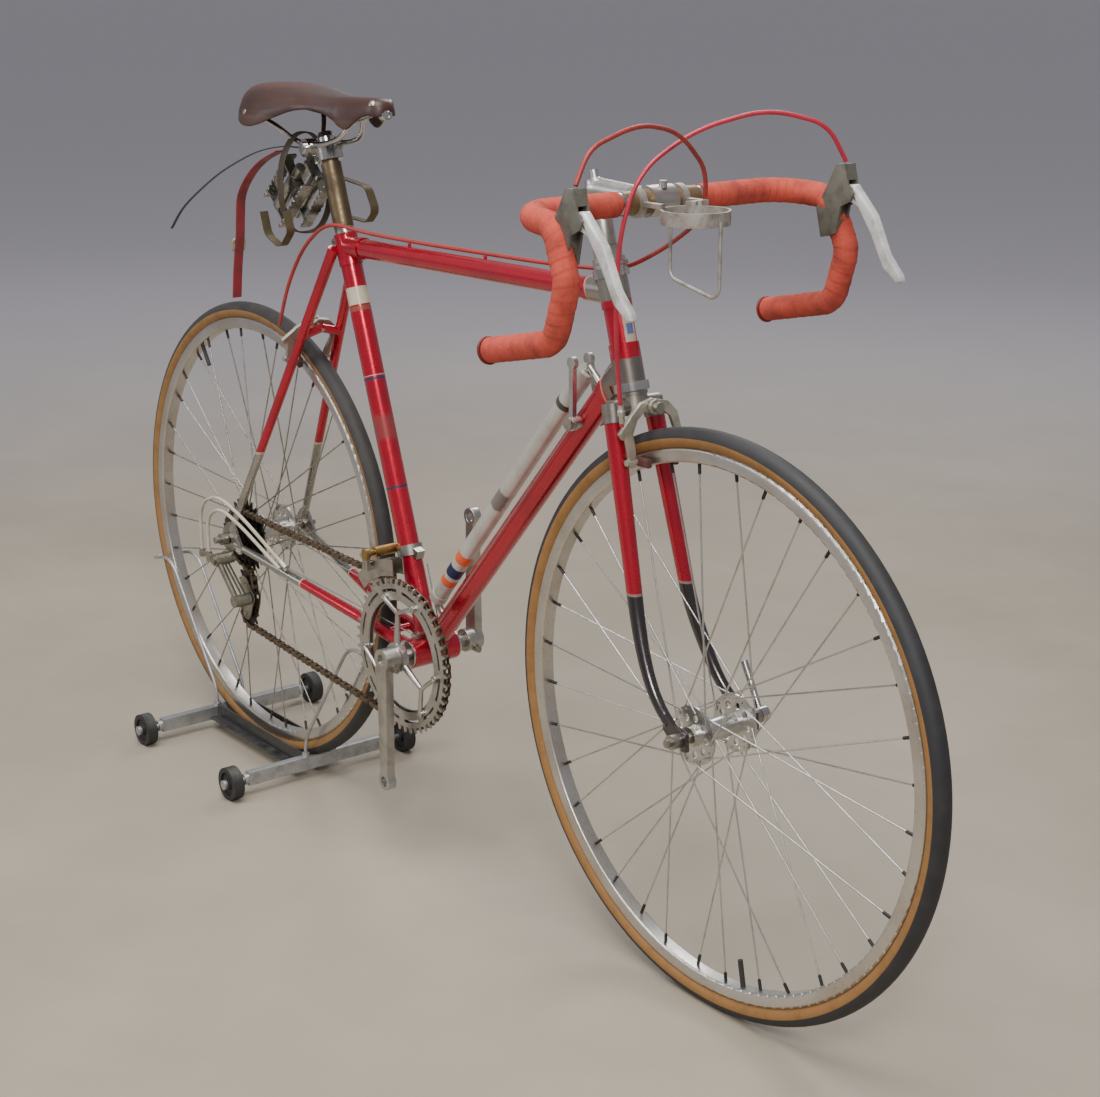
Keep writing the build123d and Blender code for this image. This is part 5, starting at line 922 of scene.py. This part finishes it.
@dataclass
class BarTape:
    """Cotton tape wound round both sides of the handlebar, with its end plugs."""

    workshop: Workshop
    corners: tuple[Point, ...] = (
        (379, -58, 909), (379, -186, 909), (446, -193, 905), (471, -197, 850), (452, -198, 789),
        (346, -200, 766),
    )
    radii: tuple[float, ...] = (44, 27, 34, 28)
    inner_radius: float = 12.35
    lap: float = 0.95
    pitch: float = 12.5
    step: float = 0.9
    around: int = 30

    def wound(self, side: int) -> bpy.types.Object:
        """One side's tape as a tube stepped at every turn."""
        points = [(x, -side * y, z) for x, y, z in self.corners]
        line = rounded_path(points, list(self.radii), self.step)
        frames = frames_along(line, Vector((0, 0, 1)))
        rows, maps = [], []
        for i, (middle, one, other) in enumerate(frames):
            ring, mapped = [], []
            along = i * self.step
            for c in range(self.around):
                turn = c / self.around
                wrap = (along / self.pitch + side * turn) % 1.0
                edge = 1.0 - min(1.0, wrap / 0.09) if wrap < 0.09 else 0.0
                rise = self.lap * (0.35 + 0.65 * wrap ** 0.7) + 0.35 * edge
                sway = 0.18 * math.sin(along * 0.31 + 5 * turn) + 0.12 * math.sin(along * 1.1 - 9 * turn)
                taper = min(1.0, (along + 0.5) / 2.0, (len(frames) * self.step - along) / 2.0)
                radius = self.inner_radius + (0.55 + rise + sway * 0.5) * taper
                angle = 2 * math.pi * turn
                ring.append(middle + (one * math.cos(angle) + other * math.sin(angle)) * radius)
                mapped.append((turn * 0.09, (along + side * turn * self.pitch) * MM))
            rows.append(ring)
            maps.append(mapped)
        name = f"tape_{'right' if side < 0 else 'left'}"
        tape = Bench.grid(name, rows, closed=True)
        layer = tape.data.uv_layers.new(name="wrap")
        for polygon in tape.data.polygons:
            for loop in polygon.loop_indices:
                vertex = tape.data.loops[loop].vertex_index
                row, column = divmod(vertex, self.around)
                layer.data[loop].uv = maps[row][column]
        Bench.only(tape)
        bpy.ops.object.mode_set(mode="EDIT")
        bpy.ops.mesh.select_all(action="SELECT")
        bpy.ops.mesh.normals_make_consistent(inside=False)
        bpy.ops.object.mode_set(mode="OBJECT")
        Bench.smooth(tape, 60)
        return tape

    def build(self) -> None:
        """Wind both sides and fit the plugs."""
        replaced = ("bar_tape",)
        for side in (-1, 1):
            tape = self.wound(side)
            self.workshop.hand_over(tape, "bar_tape", "fork", "bar_tape", replaced)
            replaced = ()
            outline = [(-6, 11.2), (0, 11.6), (0.2, 14.6), (1.2, 15.2), (2.8, 15.0), (3.6, 13.6), (3.2, 9.0),
                       (2.6, 5.0), (2.6, 0.0)]
            end = "right" if side < 0 else "left"
            plug = Bench.turned(f"bar_plug_{end}", outline, (346, side * 200, 766), (-106, side * 2, -23), 40)
            Bench.smooth(plug, 35)
            self.workshop.hand_over(plug, "bar_plug", "fork", "bar_tape")


@dataclass
class ToeStraps:
    """The leather straps, buckle and cable tie that hold the spare pedals under the saddle."""

    workshop: Workshop
    width: float = 14.0

    def band(self, name: str, line: list[Vector], across: Vector, width: float, thick: float,
             closed: bool = False) -> bpy.types.Object:
        """A strap of a crowned section along a line.

        Args:
            name: the piece's name.
            line: its middle line.
            across: the direction of its width.
            width: its width.
            thick: its thickness.
            closed: whether it is a loop.

        Returns:
            The closed strap.
        """
        outline = []
        for i in range(24):
            angle = 2 * math.pi * i / 24
            across_share = math.copysign(abs(math.cos(angle)) ** 0.35, math.cos(angle))
            up_share = math.copysign(abs(math.sin(angle)) ** 0.6, math.sin(angle))
            outline.append((across_share * width / 2, up_share * thick / 2))
        rows = []
        count = len(line)
        for i, point in enumerate(line):
            ahead = line[(i + 1) % count if closed else min(i + 1, count - 1)]
            behind = line[(i - 1) % count if closed else max(i - 1, 0)]
            along = (ahead - behind).normalized()
            wide = (across - along * across.dot(along)).normalized()
            up = along.cross(wide)
            rows.append([point + wide * a + up * b for a, b in outline])
        if closed:
            rows.append(rows[0])
        strap = Bench.grid(name, rows, closed=True)
        Bench.only(strap)
        bpy.ops.object.mode_set(mode="EDIT")
        bpy.ops.mesh.select_all(action="SELECT")
        bpy.ops.mesh.remove_doubles(threshold=0.00001)
        if not closed:
            bpy.ops.mesh.select_all(action="DESELECT")
            bpy.ops.mesh.select_non_manifold()
            bpy.ops.mesh.edge_face_add()
        bpy.ops.object.mode_set(mode="OBJECT")
        Bench.outward(strap)
        Bench.smooth(strap, 50)
        return strap

    def build(self) -> None:
        """Build the loop, the hanging strap, its buckle and the tie."""
        corners = [(-326, -44, 830), (-326, -47.4, 862), (-326, -42, 900), (-326, -26, 926),
                   (-326, -9, 932.6),
                   (-326, 8, 926), (-326, 24, 900), (-326, 29.4, 862), (-326, 26, 830), (-326, 12, 806),
                   (-326, -9, 800.4), (-326, -30, 806)]
        loop_line = smooth_path([*corners, corners[0]], 5.0)[:-1]
        loop = self.band("strap_loop", loop_line, Vector((1, 0, 0)), self.width, 2.2, closed=True)
        self.workshop.hand_over(loop, "strap_brown", "saddle", "strap_leather", ("toe_straps",))
        hanging = [(-369, -21, 905), (-412, -21, 889), (-446, -21.5, 868), (-474, -22, 838), (-483, -21, 806),
                   (-487, -20.5, 780), (-496, -21, 736), (-503, -21, 690)]
        tail = self.band("strap_tail", smooth_path(hanging, 5.0), Vector((0.05, 1, 0.02)), self.width, 2.5)
        self.workshop.hand_over(tail, "strap_leather", "saddle", "strap_leather")
        self.buckle()
        route = [(-312, -24, 914.4), (-360, -22, 912), (-420, -19, 902), (-480, -14, 886), (-560, -9, 858),
                 (-640, -4, 822), (-690, -2, 794), (-730, 0, 762)]
        tie = self.band("cable_tie", smooth_path(route, 6.0), Vector((0.1, 1, 0.1)), 4.2, 1.5)
        self.workshop.hand_over(tie, "tie_black", "saddle", "strap_leather")

    def buckle(self) -> None:
        """A cast frame round the strap with a roller."""
        middle = Vector((-490, -20.8, 766))
        down, across = Vector((-0.2, 0, -0.98)), Vector((0, 1, 0))
        ring = []
        for i in range(32):
            angle = 2 * math.pi * i / 32
            long = math.copysign(abs(math.cos(angle)) ** 0.4, math.cos(angle)) * 9
            wide = math.copysign(abs(math.sin(angle)) ** 0.4, math.sin(angle)) * 9.5
            ring.append(middle + down * long + across * wide + Vector((-1.6, 0, 0)))
        frame_piece = self.band("buckle_frame", ring, Vector((1, 0, 0.1)), 3.4, 2.6, closed=True)
        outline = [(-8.6, 0), (-8.6, 1.5), (-3, 1.9), (3, 1.9), (8.6, 1.5), (8.6, 0)]
        roller = Bench.turned("roller", outline, tuple(middle - down * 4 + Vector((-2.4, 0, 0))), (0, 1, 0),
                              20)
        whole = Bench.join("strap_buckle", [frame_piece, roller])
        Bench.smooth(whole, 40)
        self.workshop.hand_over(whole, "buckle_cream", "saddle", "chrome")


@dataclass
class DriveChain:
    """The chain as single links laid along its path over the wheels."""

    workshop: Workshop
    chain_y: float = -41.0
    pitch: float = 12.7
    plate: float = 1.0
    half_height: float = 4.0
    wheels: tuple[tuple[float, float, float, int], ...] = (
        (-488, 343, 12.7 / (2 * math.sin(math.pi / 19)), 1),
        (-65, 277, 12.7 / (2 * math.sin(math.pi / 48)), 1),
        (-469, 230, 12.7 / (2 * math.sin(math.pi / 10)), 1),
        (-474, 276, 12.7 / (2 * math.sin(math.pi / 10)), -1),
    )

    def run_between(self, first: tuple, second: tuple) -> tuple[Vector, Vector]:
        """Where the chain leaves one wheel and reaches the next, as (x, z)."""
        ax, az, ra, ta = first
        bx, bz, rb, tb = second
        distance = math.hypot(bx - ax, bz - az)
        normal = math.atan2(bz - az, bx - ax) + math.pi / 2 - math.asin((ta * ra - tb * rb) / distance)
        across = Vector((math.cos(normal), math.sin(normal)))
        return Vector((ax, az)) + across * ta * ra, Vector((bx, bz)) + across * tb * rb

    def path(self) -> list[Vector]:
        """The chain's centre line as close points."""
        following = self.wheels[1:] + self.wheels[:1]
        runs = [self.run_between(a, b) for a, b in zip(self.wheels, following)]
        line: list[Vector] = []
        for index, (x, z, radius, turn) in enumerate(self.wheels):
            arrive, leave = runs[index - 1][1], runs[index][0]
            start = math.atan2(arrive.y - z, arrive.x - x)
            end = math.atan2(leave.y - z, leave.x - x)
            sweep = (start - end) % (2 * math.pi) if turn > 0 else (end - start) % (2 * math.pi)
            for i in range(60):
                angle = start - turn * sweep * i / 60
                line.append(Vector((x + radius * math.cos(angle), z + radius * math.sin(angle))))
            line.append(leave)
            for i in range(1, 200):
                line.append(leave.lerp(runs[index][1], i / 200))
        return line

    def joints(self) -> list[Vector]:
        """The places of the chain's pins, one pitch apart."""
        line = self.path()
        closed = line + line[:1]
        total = sum((b - a).length for a, b in zip(closed, closed[1:]))
        count = 2 * round(total / self.pitch / 2)
        spacing = total / count
        pins, carried = [line[0]], 0.0
        for a, b in zip(closed, closed[1:]):
            length = (b - a).length
            while carried + length >= spacing and length > 1e-9 and len(pins) < count:
                a = a + (b - a) * ((spacing - carried) / length)
                length = (b - a).length
                pins.append(a.copy())
                carried = 0.0
            carried += length
        return pins

    def link_plate(self, y: float) -> tuple[list[Vector], list[tuple[int, ...]]]:
        """A waisted plate between two pins, as points and faces, its first pin at the origin."""
        Bench.clear()
        bpy.ops.mesh.primitive_circle_add(vertices=12, radius=self.half_height, fill_type="NGON",
                                          rotation=(0, 0, math.pi / 12))
        piece = bpy.context.object
        Bench.settle(piece)
        for vertex in piece.data.vertices:
            vertex.co.x += self.pitch if vertex.co.x > 0 else 0.0
        Bench.only(piece)
        bpy.ops.object.mode_set(mode="EDIT")
        bpy.ops.mesh.select_all(action="SELECT")
        bpy.ops.mesh.extrude_region_move(TRANSFORM_OT_translate={"value": (0, 0, self.plate)})
        bpy.ops.mesh.select_all(action="DESELECT")
        bpy.ops.object.mode_set(mode="OBJECT")
        mesh = bmesh.new()
        mesh.from_mesh(piece.data)
        long_edges = [e for e in mesh.edges
                      if abs(e.verts[0].co.x - e.verts[1].co.x) > self.pitch * 0.9]
        cut = bmesh.ops.subdivide_edges(mesh, edges=long_edges, cuts=1)
        for item in cut["geom_inner"]:
            if isinstance(item, bmesh.types.BMVert):
                item.co.y *= 0.66
        bmesh.ops.recalc_face_normals(mesh, faces=mesh.faces)
        points = [Vector((v.co.x, y + v.co.z, v.co.y)) for v in mesh.verts]
        faces = [tuple(reversed([v.index for v in f.verts])) for f in mesh.faces]
        mesh.free()
        bpy.data.objects.remove(piece, do_unlink=True)
        return points, faces

    def build(self) -> None:
        """Lay every link and roller."""
        inner_pair = [self.link_plate(self.chain_y - 2.2 - self.plate), self.link_plate(self.chain_y + 2.2)]
        outer_pair = [self.link_plate(self.chain_y - 3.3 - self.plate), self.link_plate(self.chain_y + 3.3)]
        pins = self.joints()
        points: list[Vector] = []
        faces: list[tuple[int, ...]] = []
        for index, here in enumerate(pins):
            there = pins[(index + 1) % len(pins)]
            along = (there - here)
            stretch = along.length / self.pitch
            along.normalize()
            for plate_points, plate_faces in (outer_pair if index % 2 else inner_pair):
                base = len(points)
                for p in plate_points:
                    x = p.x * stretch
                    points.append(Vector((here.x + along.x * x - along.y * p.z, p.y,
                                          here.y + along.y * x + along.x * p.z)))
                faces.extend(tuple(base + v for v in face) for face in plate_faces)
            base = len(points)
            reach = 4.7
            for y in (self.chain_y - reach, self.chain_y - 2.2, self.chain_y + 2.2, self.chain_y + reach):
                radius = 3.7 if abs(y - self.chain_y) < 3 else 1.7
                for i in range(10):
                    angle = 2 * math.pi * i / 10
                    points.append(Vector((here.x + radius * math.cos(angle), y,
                                          here.y + radius * math.sin(angle))))
            for ring in range(3):
                for i in range(10):
                    a, b = base + ring * 10 + i, base + ring * 10 + (i + 1) % 10
                    faces.append((a, b, b + 10, a + 10))
            faces.append(tuple(base + i for i in reversed(range(10))))
            faces.append(tuple(base + 30 + i for i in range(10)))
        mesh = bpy.data.meshes.new("chain_links")
        mesh.from_pydata([tuple(p * MM) for p in points], [], faces)
        chain = bpy.data.objects.new("chain_links", mesh)
        bpy.context.scene.collection.objects.link(chain)
        Bench.only(chain)
        bpy.ops.object.mode_set(mode="EDIT")
        bpy.ops.mesh.select_all(action="SELECT")
        bpy.ops.mesh.normals_make_consistent(inside=False)
        bpy.ops.object.mode_set(mode="OBJECT")
        Bench.smooth(chain, 35)
        self.workshop.hand_over(chain, "chain_steel", "frame", "chain_steel", ("chain",))


@dataclass
class SmallHardware:
    """Turned fittings too small for the sub-parts."""

    workshop: Workshop

    def turned_set(self, name: str, finish: str, body: str, slot: str,
                   items: list[tuple[list[tuple[float, float]], Point, Point]]) -> None:
        """Make several turned fittings of one finish as one piece.

        Args:
            name: the piece's name.
            finish: its finish.
            body: the body it rides on.
            slot: the record's material slot.
            items: outline, start and direction of each.
        """
        made = [Bench.turned("turned", outline, start, toward, 28) for outline, start, toward in items]
        piece = Bench.join(name, made) if len(made) > 1 else made[0]
        piece.name = name
        piece.data.name = name
        Bench.smooth(piece, 32)
        self.workshop.hand_over(piece, finish, body, slot)

    def build(self) -> None:
        """Build the caps, nuts and adjusters."""
        dome = [(0, 8.4), (2.4, 8.4), (3.4, 7.6), (4.4, 4.0), (4.8, 0.0)]
        self.turned_set("nose_bolt", "chrome", "saddle", "chrome", [
            ([(0, 4.0), (3, 8.6), (7, 9.4), (10, 9.0), (11.6, 7.4), (12, 4.6), (10.2, 3.8), (10.2, 0.0)],
             (-149, 0, 965), (64, 0, 12)),
        ])
        self.turned_set("clip_nuts", "chrome", "saddle", "chrome", [
            (dome, (-296, side * 27, 915), (0, side, 0)) for side in (-1, 1)
        ])
        barrel = [(0, 0.0), (0, 3.2), (9, 3.2), (9, 4.4), (14, 4.4), (15, 3.6), (21, 2.9), (21, 0.0)]
        self.turned_set("headset_rings", "chrome", "fork", "chrome", [
            ([(0, 13.5), (0, 18.7), (1.2, 19.2), (3.4, 19.2), (4.6, 18.7), (4.6, 13.5)],
             (302.9, 0, 830), UP_HEAD),
        ])
        self.turned_set("brake_adjuster", "cream_alloy", "fork", "cream_alloy", [
            (barrel, (379.0, -47, 672), (2, -14, 100)),
        ])


# name, place and aim in metres, side in metres, power in watts, tint
LAMPS = (
    ("overhead", (0.2, -0.6, 3.2), (0, 0, 0.4), 1.9, 105, (1.0, 0.98, 0.95)),
    ("front", (2.7, -1.9, 2.7), (0.1, 0, 0.5), 0.9, 85, (1.0, 0.98, 0.96)),
    ("side", (-1.6, -3.0, 2.0), (-0.2, 0, 0.5), 1.2, 36, (0.95, 0.97, 1.0)),
    ("back", (-1.8, 2.4, 2.8), (0, 0, 0.5), 1.2, 40, (0.97, 0.98, 1.0)),
)


@dataclass
class Studio:
    """The floor, the soft lights and the camera."""

    palette: Palette
    place: Point = (1.997898, -1.417547, 1.168606)
    azimuth: float = 141.863
    elevation: float = 16.772
    lens: float = 65.39
    floor_reach: float = 70.0
    near_reach: float = 1.4
    far_reach: float = 5.2
    near_dark: Colour = (0.30, 0.262, 0.205)
    near_pale: Colour = (0.37, 0.322, 0.255)
    far_colour: Colour = (0.62, 0.59, 0.64)
    speck_colour: Colour = (0.2, 0.17, 0.14)
    sky: Colour = (0.80, 0.80, 0.84)
    sky_strength: float = 0.38

    def floor(self) -> None:
        """A wide pale floor that turns to the wall's grey with distance."""
        Bench.clear()
        bpy.ops.mesh.primitive_circle_add(vertices=96, radius=self.floor_reach, fill_type="NGON")
        floor = bpy.context.object
        floor.name = "floor"
        material = bpy.data.materials.new("floor_paint")
        material.use_nodes = True
        graph = Graph(material.node_tree)
        shader = material.node_tree.nodes["Principled BSDF"]
        place = graph.node("TexCoord").outputs["Object"]
        reach = graph.vector("LENGTH", place).outputs["Value"]
        far = graph.step(reach, self.near_reach, self.far_reach)
        cloud = graph.noise(place, 1.7, 6.0, 0.6)
        speck = graph.step(graph.noise(place, 90.0, 3.0), 0.70, 0.78)
        near_colour = graph.mix(graph.step(cloud, 0.3, 0.75), self.near_dark, self.near_pale)
        near_colour = graph.mix(graph.math("MULTIPLY", speck, 0.35), near_colour, self.speck_colour)
        colour = graph.mix(far, near_colour, self.far_colour)
        graph.feed(shader.inputs["Base Color"], colour)
        shader.inputs["Roughness"].default_value = 0.62
        floor.data.materials.append(material)

    def lamp(self, name: str, place: Point, aim: Point, size: float, power: float, colour: Colour) -> None:
        """A square soft light.

        Args:
            name: its name.
            place: where it hangs, in metres.
            aim: the point it faces.
            size: its side.
            power: its power in watts.
            colour: its tint.
        """
        data = bpy.data.lights.new(name, "AREA")
        data.size = size
        data.energy = power
        data.color = colour
        lamp = bpy.data.objects.new(name, data)
        lamp.location = place
        lamp.rotation_euler = (Vector(aim) - Vector(place)).to_track_quat("-Z", "Y").to_euler()
        bpy.context.scene.collection.objects.link(lamp)

    def build(self) -> None:
        """Set up the floor, the light and the camera."""
        self.floor()
        world = bpy.data.worlds.new("studio")
        bpy.context.scene.world = world
        world.use_nodes = True
        background = world.node_tree.nodes["Background"]
        background.inputs["Color"].default_value = (*self.sky, 1)
        background.inputs["Strength"].default_value = self.sky_strength
        for lamp in LAMPS:
            self.lamp(*lamp)
        data = bpy.data.cameras.new("camera")
        data.lens = self.lens
        data.sensor_width = 36.0
        data.clip_end = 300.0
        camera = bpy.data.objects.new("camera", data)
        camera.location = self.place
        around, down = math.radians(self.azimuth), math.radians(self.elevation)
        aim = Vector((math.cos(around) * math.cos(down), math.sin(around) * math.cos(down), -math.sin(down)))
        camera.rotation_euler = aim.to_track_quat("-Z", "Y").to_euler()
        bpy.context.scene.collection.objects.link(camera)
        bpy.context.scene.camera = camera


def main() -> None:
    """Dress the bicycle and set up the studio."""
    logging.basicConfig(level=logging.INFO, format="%(message)s")
    palette = Palette()
    workshop = Workshop(palette)
    CarriedNodes(workshop).dress()
    LeatherSaddle(workshop).build()
    BarTape(workshop).build()
    ToeStraps(workshop).build()
    DriveChain(workshop).build()
    SmallHardware(workshop).build()
    Studio(palette).build()
    Bench.clear()


if __name__ == "__main__":
    main()
